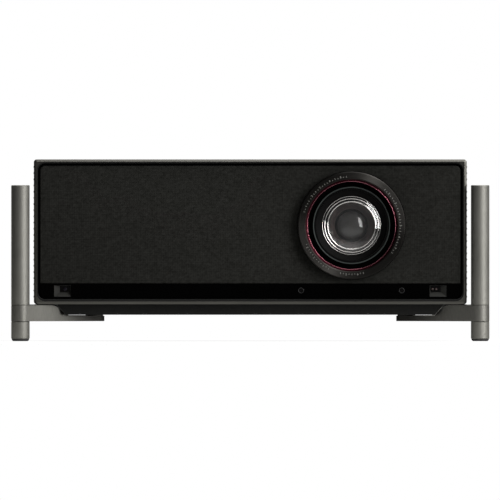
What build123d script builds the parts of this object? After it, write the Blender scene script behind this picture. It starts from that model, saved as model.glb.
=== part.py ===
"""Home projector on four posts: every sub-part as its own solid, in millimetres.

+X is the viewer's right, -Y the front, +Z up. The floor is z = 0 and the overall
box is centred on the origin in X and Y.
"""
import math
import os

from build123d import *

os.makedirs("parts", exist_ok=True)

# Fits, as a gap per side
run_gap = 0.05
thread_gap = 0.1
slide_gap = 0.3
seat_gap = 0.2

# Stand
post_d = 16.6
post_gap = 3.7
post_len = 108.0
post_bore = 11.4
post_cap = 4.0
leg_inset = 1.0
rear_splay = 3.2
foot_h = 17.8
foot_seam = 0.3
pad_h = 2.0
pad_chamfer = 1.1
pin_r = 3.0
pin_len = 8.0
stud_d = 8.0
stud_len = 28.0
spigot_h = 10.0
arm_h = 14.4
arm_plate = 4.8
arm_angle = 42.0
arm_reach = 89.9
arm_pad_r = 7.2
arm_pad_h = 1.0
arm_round = 12.0
edge_break = 0.5

# Countersunk screws under the arms and the base tray
screw_d = 5.0
screw_len = 12.0
screw_head_d = 10.0
hex_r = 1.7
hex_depth = 1.6

# Body shell
body_w = 389.4
body_h = 130.3
body_d = 340.0
corner_r = 2.7
wall = 3.0
lens_proud = 8.0
inlet_proud = 2.0
bezel_d = 17.0
rear_d = 10.0

# Base tray below the body
base_side = 28.7
base_drop = 9.5
base_slope = 41.0
base_inset = 16.0
base_screw_side = 46.0
base_screw_end = 50.0
base_floor = 3.0
arm_gap = 0.5
boss_r = 7.5
ceiling_x = 200.0
ceiling_y = 120.0
ceiling_hole_r = 3.0
tripod_hole_r = 3.175
mount_depth = 8.0
vent_w = 60.0
vent_h = 4.0
vent_pitch = 9.0
vent_rows = 7
rear_vent_gap = 6.0

# Front rim, cloth panel and sensor bar
rim_w = 3.6
rim_low = 4.6
rim_chamfer = 2.0
rim_inner_round = 1.0
opening_r = 6.4
reveal = 2.15
flange_t = 2.0
cloth_setback = 1.5
cloth_t = 0.8
frame_t = 3.0
frame_rib = 3.0
bar_h = 13.05
bar_setback = 0.3
camera_side = 19.95
camera_rise = 6.15
camera_w = 15.4
camera_h = 10.4
window_w = 9.4
window_h = 5.6
window_shift_x = 2.4
window_shift_z = 1.7
receiver_r = 2.25
receiver_dx = 45.25
receiver_rise = 6.65
module_d = 4.0
module_lap_x = 0.8
module_lap_z = 0.6
eye_out = 1.0
eye_r = 1.9
twin_eye_r = 1.1
twin_eye_pitch = 3.3
twin_eye_shift = 1.1

# Side panels
rib_pitch = 5.56
rib_count = 22
rib_h = 1.5
rib_proud = 0.45
slot_h = 2.2
slot_len = 84.0
slot_cols = 3

# Lens
lens_side = 103.7
lens_low = 0.775
trim_margin = 4.475
trim_chamfer = 0.9
trim_flange = 1.8
trim_tube = 9.0
trim_wall = 2.0
accent_step = 7.0
accent_w = 2.2
accent_t = 2.2
accent_setback = 0.6
barrel_gap = 4.6
barrel_wall = 2.4
barrel_recess = 7.0
cell_wall = 5.2
cell_recess = 3.0
cell_len = 28.0
glass_edge = 5.0
glass_sag = 6.0
glass_hollow = 2.0
glass_inset = 4.0
glass_lip = 3.0
front_len = 43.5
neck_step = 4.6
neck_wall = 4.0
bore_taper = 6.0
inner_edge = 6.0
inner_sag = 5.0
rear_edge = 5.0
rear_sag = 3.0
tube_step = 6.0
tube_wall = 4.0
tube_len = 27.0
shield_gap = 3.0
shield_t = 1.5
shield_lap = 2.0
lens_flange_out = 16.0
lens_flange_t = 6.0
lens_shift_v = 3.3
lens_shift_h = 2.4

# Lens drives
gear_module = 1.0
ring_wall = 8.0
pinion_teeth = 12
ring_w = 11.0
collar_t = 2.0
collar_out = 3.0
ear_t = 2.5
ear_r = 9.5
motor_r = 8.0
motor_len = 18.0
motor_room = 5.0
cross_motor_r = 5.0
shaft_r = 1.5
shaft_grip = 10.0
shaft_end = 1.0

# Lens shift
plate_t = 6.0
cross_w = 100.0
lift_w = 112.0
plate_trim = 0.1
key_w = 4.0
key_d = 3.0
cross_key_z = 36.0
lift_key_x = 46.0
screw_r = 2.5
lug_w = 8.0
cross_span = 60.0
cross_drop = 7.0
nut_w = 12.0
nut_wall = 2.0
lift_motor_w = 14.0
lift_motor_h = 22.0

# Light engine
engine_w = 126.0
engine_reach = 65.0
engine_d = 114.0
engine_head = 10.3
engine_lift = 12.0
engine_wall = 4.0
leg_r = 5.0
beam_back = 45.2
prism_w = 40.0
prism_back = 25.0
prism_h = 48.0
rod_w = 6.0
wheel_r = 20.0
wheel_t = 1.5
wheel_offset = 16.0
wheel_shaft_r = 2.0
wheel_gap = 6.0
stub_len = 5.0
rod_gap = 2.0
chip_w = 24.0
chip_h = 18.0
chip_board_w = 70.0
chip_board_h = 60.0
board_t = 1.6
sink_w = 60.0
sink_h = 50.0
sink_base = 4.0
sink_d = 30.0
laser_w = 50.0
laser_d = 60.0
laser_h = 68.0
snout_r = 4.7

# Cooling
fin_count = 20
fin_pitch = 4.0
fin_t = 0.8
fin_d = 116.0
fin_head = 12.3
fin_gap = 15.7
pipe_r = 3.0
pipe_dy = 32.0
pipe_dz = 28.0
fan_head = 4.3
fan_t = 25.0
fan_rim = 2.0
fan_tip_gap = 2.5
fan_hub_r = 20.0
fan_blades = 7
fan_hole_inset = 7.5
fan_strut_t = 3.0
fan_shaft_r = 2.0
fan_tube_len = 10.0
fan_cup_gap = 1.0
fan_cup_inset = 4.0
fan_blade_t = 1.5
fan_pitch_angle = 40.0
fan_side_gap = 1.0
exhaust_gap = 8.0

# Boards, sockets and rear panel
board_lift = 16.0
main_board_side = 71.7
main_board_w = 180.0
main_board_room = 32.7
board_gap = 0.5
standoff_r = 3.5
standoff_inset = 7.0
shell_t = 1.0
port_side = 20.0
port_pitch = 27.0
port_depth = 12.0
lan_w = 11.8
lan_h = 8.4
usb_w = 12.6
usb_h = 5.4
video_w = 14.4
video_h = 5.2
chip_fin_h = 8.0
chip_fin_d = 36.0
chip_fin_pitch = 5.0
chip_fins = 9
coil_w = 9.0
coil_pitch = 14.0
supply_gap = 10.7
supply_w = 116.0
supply_d = 60.0
supply_front_gap = 10.0
supply_lift = 8.0
transformer_w = 34.0
transformer_h = 28.0
spreader_t = 3.0
capacitor_r = 9.0
capacitor_h = 32.0
capacitor_pitch = 22.0
inlet_side = 74.7
inlet_rise = 28.9
inlet_w = 27.0
inlet_h = 19.6
inlet_depth = 24.0
inlet_lip = 3.0
inlet_wall = 2.0
pin_h = 4.0
pin_w = 2.0
pin_pitch = 7.0
pin_out = 10.0
button_side = 34.7
button_r = 6.0
button_travel = 1.2
button_guide = 3.0
button_web = 1.0

# Speakers
speaker_w = 40.0
speaker_d = 55.0
speaker_head = 10.3
speaker_inset = 3.0
driver_w = 32.0
driver_end = 15.0
driver_flange = 2.0
driver_rim = 4.0
cone_depth = 12.0
magnet_r = 12.0
magnet_len = 14.0

# Levels that follow from the sizes above
shell_d = lens_proud + body_d + inlet_proud
trim_front = -shell_d / 2
body_front = trim_front + lens_proud
body_back = body_front + body_d
bezel_back = body_front + bezel_d
rear_front = body_back - rear_d
post_x = body_w / 2 + post_gap + post_d / 2
leg_y = body_d / 2 - leg_inset
arm_top = foot_h + arm_h
base_z = foot_h + arm_plate + arm_pad_h
body_z = base_z + base_drop
body_top = body_z + body_h
body_mid = body_z + body_h / 2
floor_top = body_z + wall
roof = body_top - wall
inner_x = body_w / 2 - wall
base_w = body_w - 2 * base_side
base_screw_x = base_w / 2 - base_screw_side
base_screw_y = body_d / 2 - base_screw_end

opening_w = body_w - 2 * rim_w
opening_h = body_h - rim_w - rim_low
opening_mid = (body_z + rim_low + body_top - rim_w) / 2
panel_w = opening_w - 2 * reveal
panel_h = body_h - 2 * rim_w - 2 * reveal
panel_r = opening_r - reveal
panel_z = body_z + rim_w + reveal
bar_top = panel_z + bar_h
cloth_h = panel_h - bar_h
cloth_mid = bar_top + cloth_h / 2
camera_x = panel_w / 2 - camera_side
camera_z = panel_z + camera_rise
receiver_z = panel_z + receiver_rise
cloth_front = body_front + cloth_setback
frame_front = cloth_front + cloth_t
frame_back = frame_front + frame_t
bar_front = cloth_front + bar_setback
flange_front = bezel_back - flange_t

lens_x = body_w / 2 - lens_side
lens_z = cloth_mid - lens_low
receiver_x = (lens_x - receiver_dx, lens_x + receiver_dx)
trim_r = cloth_h / 2 - trim_margin
accent_r = trim_r - accent_step
accent_bore = accent_r - accent_w
barrel_r = accent_bore - barrel_gap
cell_bore = barrel_r - barrel_wall
glass_r = cell_bore - cell_wall
neck_r = barrel_r - neck_step
neck_bore = neck_r - neck_wall
tube_r = neck_r - tube_step
tube_bore = tube_r - tube_wall
lens_flange_r = neck_r + lens_flange_out
collar_r = neck_r + collar_out
ring_teeth = round(2 * (neck_r + ring_wall) / gear_module)
shift_reach = math.hypot(lens_shift_v, lens_shift_h)
trim_back = frame_back + trim_tube
shield_front = trim_back + shield_gap
shield_r = accent_bore + shift_reach + shield_lap
barrel_front = trim_front + barrel_recess
shoulder = barrel_front + front_len
ring_zone = ring_w + 2 * slide_gap
collar_front = shoulder + ring_zone
zoom_front = collar_front + collar_t
zoom_ear = zoom_front + ring_zone
lens_flange = zoom_ear + ear_t + motor_len + motor_room
cross_front = lens_flange + lens_flange_t
cross_back = cross_front + plate_t
lift_front = cross_back + slide_gap
lift_back = lift_front + plate_t
engine_front = lift_back + slide_gap
engine_back = engine_front + engine_d
engine_left = lens_x - engine_reach
engine_z = floor_top + engine_lift
engine_top = roof - engine_head
engine_h = engine_top - engine_z
plate_h = 2 * (engine_top - lens_z - plate_trim)
beam_y = engine_front + beam_back
engine_mid = engine_left + engine_w / 2
main_board_z = floor_top + board_lift
main_board_back = body_back - wall - board_gap
main_board_x = -inner_x + main_board_side + main_board_w / 2
main_board_d = main_board_back - engine_back - main_board_room
main_board_y = main_board_back - main_board_d / 2
supply_z = floor_top + supply_lift
supply_x = -inner_x + speaker_inset + speaker_w + supply_gap + supply_w / 2
supply_y = bezel_back + supply_front_gap + supply_d / 2
fan_size = roof - floor_top - fan_head
fan_bore_r = fan_size / 2 - fan_rim
fan_tip_r = fan_bore_r - fan_tip_gap
fan_hole_pitch = fan_size - 2 * fan_hole_inset
exhaust_y = rear_front - exhaust_gap - fan_size / 2
fin_left = -inner_x + fan_side_gap + fan_t + fin_gap
fin_h = roof - floor_top - fin_head
speaker_h = roof - floor_top - speaker_head
driver_h = speaker_h - 2 * driver_end
inlet_x = body_w / 2 - inlet_side
inlet_z = body_z + inlet_rise
button_x = body_w / 2 - button_side
port_x = main_board_x - main_board_w / 2 + port_side
lens_axis = Axis((lens_x, 0, lens_z), (0, 1, 0))

# The four legs: name, post axis and inner screw of the arm
arm_dx = arm_reach * math.cos(math.radians(arm_angle))
arm_dy = arm_reach * math.sin(math.radians(arm_angle))
legs = []
for end, sy, splay in (("front", -1, 0), ("rear", 1, rear_splay)):
    for side, sx in (("left", -1), ("right", 1)):
        leg_x = post_x + splay
        inner_screw = (sx * (leg_x - arm_dx), sy * (leg_y - arm_dy))
        legs.append((f"{end}_{side}", sx, sx * leg_x, sy * leg_y, *inner_screw))
base_screw_spots = [(sx * base_screw_x, sy * base_screw_y) for sx in (-1, 1) for sy in (-1, 0, 1)]
ceiling_spots = [(sx * ceiling_x / 2, sy * ceiling_y / 2) for sx in (-1, 1) for sy in (-1, 1)]
low = (Align.CENTER, Align.CENTER, Align.MIN)


def save(builder, node):
    """Name one finished piece and write it."""
    builder.part.label = node
    export_step(builder.part, f"parts/{node}.step")


def front_plane(y):
    """Drawing plane across the body at depth y: x to the right, up, extruding to the front."""
    return Plane.XZ.offset(-y)


def on_lens(points):
    """Points of a section given as radius from the lens axis and depth."""
    return [(lens_x + r, y) for r, y in points]


def polar(radius, degrees):
    """Point in the front plane at a radius and angle from the lens axis."""
    turn = math.radians(degrees)
    return (lens_x + radius * math.cos(turn), lens_z + radius * math.sin(turn))


def dome_mid(r, y_edge, sag):
    """Point half way out on a spherical lens face with this sag."""
    sphere = (r * r + sag * sag) / (2 * abs(sag))
    drop = sphere - math.sqrt(sphere * sphere - r * r / 4)
    return (r / 2, y_edge - sag + math.copysign(drop, sag))


def gear_points(teeth, turn):
    """Outline of a spur gear about (0, 0), the middle of one tooth at turn degrees."""
    pitch_r = teeth * gear_module / 2
    flank = ((-1.15, 1.1 if teeth == ring_teeth else 0.82), (0, 0.7), (0.9, 0.36))
    points = []
    for k in range(teeth):
        mid = math.radians(turn) + 2 * math.pi * k / teeth
        for sign, steps in ((-1, flank), (1, flank[::-1])):
            for out, half in steps:
                r = pitch_r + out * gear_module
                angle = mid + sign * half * gear_module / r
                points.append((r * math.cos(angle), r * math.sin(angle)))
    return points


# Stand arms: one casting per leg, screwed under the base tray and carrying a post and a foot
def step_x(z):
    """How far out the arm's sloped step lies at height z, along the base tray's side."""
    slope = math.radians(base_slope)
    return base_w / 2 + (z - base_z) * math.tan(slope) + arm_gap / math.cos(slope)


for leg, sx, px, py, ix, iy in legs:
    plate_top = foot_h + arm_plate
    tip = abs(ix) - post_d
    out = abs(px) + post_d
    with BuildPart() as arm:
        with BuildSketch(front_plane(max(py, iy) + post_d)) as arm_section:
            with BuildLine():
                Polyline(
                    (sx * tip, foot_h),
                    (sx * out, foot_h),
                    (sx * out, arm_top),
                    (sx * step_x(arm_top), arm_top),
                    (sx * step_x(plate_top), plate_top),
                    (sx * tip, plate_top),
                    close=True,
                )
            make_face()
            top_corner = (sx * step_x(arm_top), arm_top)
            fillet(arm_section.vertices().sort_by_distance(top_corner)[0], arm_round)
        extrude(amount=abs(py - iy) + 2 * post_d)
        with BuildSketch(Plane.XY.offset(foot_h)):
            with Locations(((px + ix) / 2, (py + iy) / 2)):
                SlotCenterToCenter(arm_reach, post_d, rotation=math.degrees(math.atan2(py - iy, px - ix)))
        extrude(amount=arm_h, mode=Mode.INTERSECT)
        with Locations((ix, iy, plate_top)):
            Cylinder(arm_pad_r, arm_pad_h, align=low)
        with Locations((px, py, arm_top)):
            Cylinder(post_bore / 2 - run_gap, spigot_h, align=low)
        with Locations(Plane((px, py, foot_h), z_dir=(0, 0, -1))):
            Hole(stud_d / 2 + thread_gap)
        with Locations(Plane((ix, iy, foot_h), z_dir=(0, 0, -1))):
            CounterSinkHole(screw_d / 2 + seat_gap, screw_head_d / 2 + seat_gap, counter_sink_angle=90)
    save(arm, f"{leg}_arm")

# Posts: four tubes closed at the top, standing on the arms' spigots
with BuildPart() as posts:
    with Locations(*[(px, py, arm_top) for leg, sx, px, py, ix, iy in legs]):
        Cylinder(post_d / 2, post_len, align=low)
        Cylinder(post_bore / 2, post_len - post_cap, align=low, mode=Mode.SUBTRACT)
    rims = posts.edges().filter_by(GeomType.CIRCLE).filter_by(lambda e: e.radius > post_bore / 2 + 1)
    chamfer(rims, edge_break)
save(posts, "posts")

# Feet: a barrel on a threaded stud that turns in the arm, over a rubber pad that stays still
for leg, sx, px, py, ix, iy in legs:
    with BuildPart() as foot:
        with Locations((px, py, pad_h)):
            Cylinder(post_d / 2, foot_h - foot_seam - pad_h, align=low)
        chamfer(foot.edges().filter_by(GeomType.CIRCLE), edge_break)
        with Locations((px, py, foot_h - foot_seam)):
            Cylinder(stud_d / 2, stud_len, align=low)
        with Locations((px, py, pad_h)):
            Cylinder(pin_r + run_gap, pin_len + 1, align=low, mode=Mode.SUBTRACT)
    save(foot, f"{leg}_foot")
    with BuildPart() as pad:
        with Locations((px, py, 0)):
            Cylinder(post_d / 2 - edge_break, pad_h, align=low)
        chamfer(pad.edges().group_by(Axis.Z)[0], pad_chamfer)
        with Locations((px, py, pad_h)):
            Cylinder(pin_r, pin_len, align=low)
    save(pad, f"{leg}_foot_pad")

# Screws under the arms and the base tray, all one size
with BuildPart() as screws:
    spots = [(ix, iy, foot_h) for leg, sx, px, py, ix, iy in legs]
    spots += [(x, y, base_z) for x, y in base_screw_spots]
    head_h = (screw_head_d - screw_d) / 2
    with Locations(*spots):
        Cylinder(screw_d / 2, screw_len, align=low)
        Cone(screw_head_d / 2, screw_d / 2, head_h, align=low)
        Cylinder(hex_r, hex_depth, align=low, mode=Mode.SUBTRACT)
save(screws, "underside_screws")

# Base tray: a shallow pan with sloped sides, an air space under the chassis floor
slope_out = math.tan(math.radians(base_slope))
base_front = body_front + base_inset
base_back = body_back - base_inset
with BuildPart() as base_tray:
    with BuildSketch(front_plane(base_back)):
        with BuildLine():
            Polyline(
                (-base_w / 2, base_z),
                (base_w / 2, base_z),
                (base_w / 2 + base_drop * slope_out, body_z),
                (-base_w / 2 - base_drop * slope_out, body_z),
                close=True,
            )
        make_face()
    extrude(amount=base_back - base_front)
    with BuildSketch(front_plane(base_back - wall)):
        with BuildLine():
            Polyline(
                (-base_w / 2 + wall, base_z + base_floor),
                (base_w / 2 - wall, base_z + base_floor),
                (base_w / 2 - wall + (base_drop - base_floor) * slope_out, body_z),
                (-base_w / 2 + wall - (base_drop - base_floor) * slope_out, body_z),
                close=True,
            )
        make_face()
    extrude(amount=base_back - base_front - 2 * wall, mode=Mode.SUBTRACT)
    arm_spots = [(ix, iy) for leg, sx, px, py, ix, iy in legs]
    with Locations(*[(x, y, base_z) for x, y in arm_spots + base_screw_spots + ceiling_spots + [(0, 0)]]):
        Cylinder(boss_r, base_drop, align=low)
    with Locations(*[(x, y, base_z) for x, y in arm_spots]):
        Cylinder(screw_d / 2 + run_gap, mount_depth, align=low, mode=Mode.SUBTRACT)
    with Locations(*[Plane((x, y, base_z), z_dir=(0, 0, -1)) for x, y in base_screw_spots]):
        CounterSinkHole(screw_d / 2 + seat_gap, screw_head_d / 2 + seat_gap, counter_sink_angle=90)
    with Locations(*[(x, y, base_z) for x, y in ceiling_spots]):
        Cylinder(ceiling_hole_r, mount_depth, align=low, mode=Mode.SUBTRACT)
    with Locations((0, 0, base_z)):
        Cylinder(tripod_hole_r, mount_depth, align=low, mode=Mode.SUBTRACT)
    with BuildSketch(Plane.XY.offset(base_z)):
        with Locations((-vent_w, 0), (vent_w, 0)):
            with GridLocations(vent_w, vent_pitch, 1, vent_rows):
                SlotOverall(vent_w, vent_h)
    extrude(amount=base_floor, mode=Mode.SUBTRACT)
save(base_tray, "base_tray")

# Chassis floor: the plate that every inner piece stands on
def standoff_spots(x, y, w, d):
    """Corners of a board, in from its edges."""
    half_w = w / 2 - standoff_inset
    half_d = d / 2 - standoff_inset
    return [(x + sx * half_w, y + sy * half_d) for sx in (-1, 1) for sy in (-1, 1)]


main_standoffs = standoff_spots(main_board_x, main_board_y, main_board_w, main_board_d)
supply_standoffs = standoff_spots(supply_x, supply_y, supply_w, supply_d)
with BuildPart() as chassis_floor:
    with BuildSketch(Plane.XY.offset(body_z)):
        with Locations((0, (bezel_back + rear_front) / 2)):
            Rectangle(2 * inner_x, rear_front - bezel_back)
        with Locations((-vent_w, 0), (vent_w, 0)):
            with GridLocations(vent_w, vent_pitch, 1, vent_rows):
                SlotOverall(vent_w, vent_h, mode=Mode.SUBTRACT)
        with Locations(*base_screw_spots):
            Circle(screw_d / 2 + run_gap, mode=Mode.SUBTRACT)
    extrude(amount=wall)
    with Locations(*[(x, y, floor_top) for x, y in main_standoffs]):
        Cylinder(standoff_r, board_lift, align=low)
    with Locations(*[(x, y, floor_top) for x, y in supply_standoffs]):
        Cylinder(standoff_r, supply_lift, align=low)
save(chassis_floor, "chassis_floor")

# Top cover: a plate with its long edges rounded to meet the bezel and the rear panel
with BuildPart() as top_cover:
    with BuildSketch(Plane.XY.offset(roof)):
        with Locations((0, (bezel_back + rear_front) / 2)):
            Rectangle(body_w, rear_front - bezel_back)
    extrude(amount=wall)
    fillet(top_cover.edges().filter_by(Axis.Y).group_by(Axis.Z)[-1], corner_r)
save(top_cover, "top_cover")

# Side panels: plates with long ribs and rows of air slots between them
for side, sx in (("left", -1), ("right", 1)):
    panel_len = rear_front - bezel_back
    panel_y = (rear_front + bezel_back) / 2
    outer = sx * body_w / 2
    with BuildPart() as side_panel:
        with BuildSketch(Plane.YZ.offset(outer - sx * wall)):
            with Locations((panel_y, (body_z + roof) / 2)):
                Rectangle(panel_len, roof - body_z)
        extrude(amount=sx * wall)
        low_edges = side_panel.edges().filter_by(Axis.Y).group_by(Axis.Z)[0].sort_by(Axis.X)
        fillet(low_edges[0 if sx < 0 else -1], corner_r)
        with BuildSketch(Plane.YZ.offset(outer)):
            with Locations((panel_y, body_mid)):
                with GridLocations(panel_len, rib_pitch, 1, rib_count):
                    Rectangle(panel_len - 2 * wall, rib_h)
        extrude(amount=sx * rib_proud)
        with BuildSketch(Plane.YZ.offset(outer)):
            with Locations((panel_y, body_mid)):
                with GridLocations(slot_len + 4 * wall, rib_pitch, slot_cols, rib_count - 1):
                    SlotOverall(slot_len, slot_h)
        extrude(amount=-sx * wall, mode=Mode.SUBTRACT)
    save(side_panel, f"{side}_side_panel")

# Front bezel: the thin rim round the front, with a flange inside it that carries the cloth panel
with BuildPart() as front_bezel:
    with BuildSketch(front_plane(bezel_back)):
        with Locations((0, body_mid)):
            RectangleRounded(body_w, body_h, corner_r)
        with Locations((0, opening_mid)):
            RectangleRounded(opening_w, opening_h, opening_r, mode=Mode.SUBTRACT)
    extrude(amount=bezel_d)
    chamfer(front_bezel.faces().sort_by(Axis.Y)[0].outer_wire().edges(), rim_chamfer)
    fillet(front_bezel.faces().sort_by(Axis.Y)[0].inner_wires()[0].edges(), rim_inner_round)
    with BuildSketch(front_plane(bezel_back)):
        with Locations((0, opening_mid)):
            RectangleRounded(opening_w, opening_h, opening_r)
        with Locations((0, panel_z + panel_h / 2)):
            Rectangle(panel_w - 2 * frame_rib, panel_h - 2 * frame_rib, mode=Mode.SUBTRACT)
    extrude(amount=flange_t)
save(front_bezel, "front_bezel")

# Grille frame: the moulded panel behind the cloth, open in front of the speakers
speaker_x = inner_x - speaker_inset - speaker_w / 2
with BuildPart() as grille_frame:
    with BuildSketch(front_plane(frame_back)):
        with Locations((0, panel_z + panel_h / 2)):
            RectangleRounded(panel_w, panel_h, panel_r)
        with Locations((0, panel_z + bar_h / 2)):
            Rectangle(panel_w, bar_h, mode=Mode.SUBTRACT)
        with Locations((lens_x, lens_z)):
            Circle(trim_r + slide_gap, mode=Mode.SUBTRACT)
        with Locations((-speaker_x, cloth_mid), (speaker_x, cloth_mid)):
            SlotOverall(driver_h, driver_w - driver_rim, rotation=90, mode=Mode.SUBTRACT)
    extrude(amount=frame_t)
    with BuildSketch(front_plane(flange_front)):
        with Locations((0, panel_z + panel_h / 2)):
            RectangleRounded(panel_w, panel_h, panel_r)
            Rectangle(panel_w - 2 * frame_rib, panel_h - 2 * frame_rib, mode=Mode.SUBTRACT)
    extrude(amount=flange_front - frame_back)
save(grille_frame, "grille_frame")

# Grille cloth: the fabric stretched over the frame
with BuildPart() as grille_cloth:
    with BuildSketch(front_plane(frame_front)):
        with Locations((0, panel_z + panel_h / 2)):
            RectangleRounded(panel_w, panel_h, panel_r)
        with Locations((0, panel_z + bar_h / 2)):
            Rectangle(panel_w, bar_h, mode=Mode.SUBTRACT)
        with Locations((lens_x, lens_z)):
            Circle(trim_r + slide_gap, mode=Mode.SUBTRACT)
    extrude(amount=cloth_t)
save(grille_cloth, "grille_cloth")

# Sensor bar: the gloss strip under the cloth, with two bevelled camera recesses and two receiver holes
with BuildPart() as sensor_bar:
    with BuildSketch(front_plane(frame_back)):
        with Locations((0, panel_z + panel_h / 2)):
            RectangleRounded(panel_w, panel_h, panel_r)
        with Locations((0, panel_z + bar_h / 2)):
            Rectangle(panel_w, bar_h, mode=Mode.INTERSECT)
        with Locations(*[(x, receiver_z) for x in receiver_x]):
            Circle(receiver_r + run_gap, mode=Mode.SUBTRACT)
    extrude(amount=frame_back - bar_front)
    for sx in (-1, 1):
        with BuildSketch(front_plane(bar_front)):
            with Locations((sx * camera_x, camera_z)):
                Rectangle(camera_w, camera_h)
        with BuildSketch(front_plane(frame_back)):
            with Locations((sx * (camera_x - window_shift_x), camera_z + window_shift_z)):
                Rectangle(window_w, window_h)
        loft(mode=Mode.SUBTRACT)
save(sensor_bar, "sensor_bar")

# Front sensors: two camera modules behind the bar and two round receiver windows in it
with BuildPart() as front_sensors:
    for sx in (-1, 1):
        mid = (sx * (camera_x - window_shift_x), camera_z + window_shift_z)
        with BuildSketch(front_plane(frame_back + module_d)):
            with Locations(mid):
                Rectangle(window_w + 2 * module_lap_x, window_h + 2 * module_lap_z)
        extrude(amount=module_d)
        with BuildSketch(front_plane(frame_back)):
            if sx < 0:
                with Locations(mid):
                    Circle(eye_r)
            else:
                with Locations((mid[0] - twin_eye_shift, mid[1])):
                    with GridLocations(twin_eye_pitch, twin_eye_pitch, 2, 1):
                        Circle(twin_eye_r)
        extrude(amount=eye_out)
    with BuildSketch(front_plane(frame_back)):
        with Locations(*[(x, receiver_z) for x in receiver_x]):
            Circle(receiver_r)
    extrude(amount=frame_back - bar_front - seat_gap)
save(front_sensors, "front_sensors")

# Rear panel: a pan with socket cut-outs, air slots and the guide of the power button
ports = [(port_x, lan_w, lan_h)]
ports += [(port_x + k * port_pitch, usb_w, usb_h) for k in (1, 2)]
ports += [(port_x + k * port_pitch, video_w, video_h) for k in (3, 4, 5)]
port_floor = main_board_z + board_t + shell_t
button_z = inlet_z
rear_inner = body_back - wall
with BuildPart() as rear_panel:
    with BuildSketch(front_plane(body_back)):
        with Locations((0, body_mid)):
            RectangleRounded(body_w, body_h, corner_r)
    extrude(amount=rear_d)
    with BuildSketch(front_plane(rear_inner)):
        with Locations((0, body_mid)):
            Rectangle(body_w - 2 * wall, body_h - 2 * wall)
    extrude(amount=rear_d - wall, mode=Mode.SUBTRACT)
    with BuildSketch(front_plane(rear_inner)):
        with Locations((button_x, button_z)):
            Circle(button_r + seat_gap + button_guide)
    extrude(amount=rear_d - wall)
    with BuildSketch(front_plane(body_back)):
        for x, w, h in ports:
            with Locations((x, port_floor + h / 2)):
                Rectangle(w + 2 * shell_t + 2 * slide_gap, h + 2 * shell_t + 2 * slide_gap)
        with Locations((inlet_x, inlet_z)):
            Rectangle(inlet_w + 2 * seat_gap, inlet_h + 2 * seat_gap)
        with Locations((button_x, button_z)):
            Circle(button_r + seat_gap)
        with Locations((0, body_mid + body_h / 5)):
            with GridLocations(vent_w + rear_vent_gap, vent_pitch, 5, 5):
                SlotOverall(vent_w, vent_h)
    extrude(amount=rear_d - button_web, mode=Mode.SUBTRACT)
save(rear_panel, "rear_panel")

# Power button: a round plunger in the rear panel's guide
with BuildPart() as power_button:
    with BuildSketch(front_plane(body_back + inlet_proud)):
        with Locations((button_x, button_z)):
            Circle(button_r)
    extrude(amount=rear_d - button_web - button_travel - seat_gap + inlet_proud)
    chamfer(power_button.faces().sort_by(Axis.Y)[-1].edges(), edge_break)
save(power_button, "power_button")

# Lens trim ring: the bright ring round the lens, its tube reaching back through the grille frame
with BuildPart() as lens_trim_ring:
    with BuildSketch(Plane.XY.offset(lens_z)):
        with BuildLine():
            Polyline(
                *on_lens(
                    (
                        (accent_bore, trim_back),
                        (accent_r + trim_wall, trim_back),
                        (accent_r + trim_wall, frame_back + flange_t),
                        (trim_r + trim_flange, frame_back + flange_t),
                        (trim_r + trim_flange, frame_back),
                        (trim_r, frame_back),
                        (trim_r, trim_front + 2 * trim_chamfer),
                        (trim_r - trim_chamfer, trim_front + trim_chamfer),
                        (accent_r + trim_chamfer, trim_front),
                        (accent_r, trim_front + accent_setback),
                        (accent_r, trim_front + accent_setback + accent_t),
                        (accent_bore, trim_front + accent_setback + accent_t),
                    )
                ),
                close=True,
            )
        make_face()
    revolve(axis=lens_axis)
save(lens_trim_ring, "lens_trim_ring")

# Accent ring: the red ring seated inside the trim ring
with BuildPart() as accent_ring:
    accent_back = trim_front + accent_setback + accent_t
    with BuildSketch(Plane.XY.offset(lens_z)):
        with BuildLine():
            Polyline(
                *on_lens(
                    (
                        (accent_bore, accent_back),
                        (accent_r - run_gap, accent_back),
                        (accent_r - run_gap, accent_back - accent_t),
                        (accent_bore, accent_back - accent_t / 2),
                    )
                ),
                close=True,
            )
        make_face()
    revolve(axis=lens_axis)
save(accent_ring, "red_accent_ring")

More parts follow.
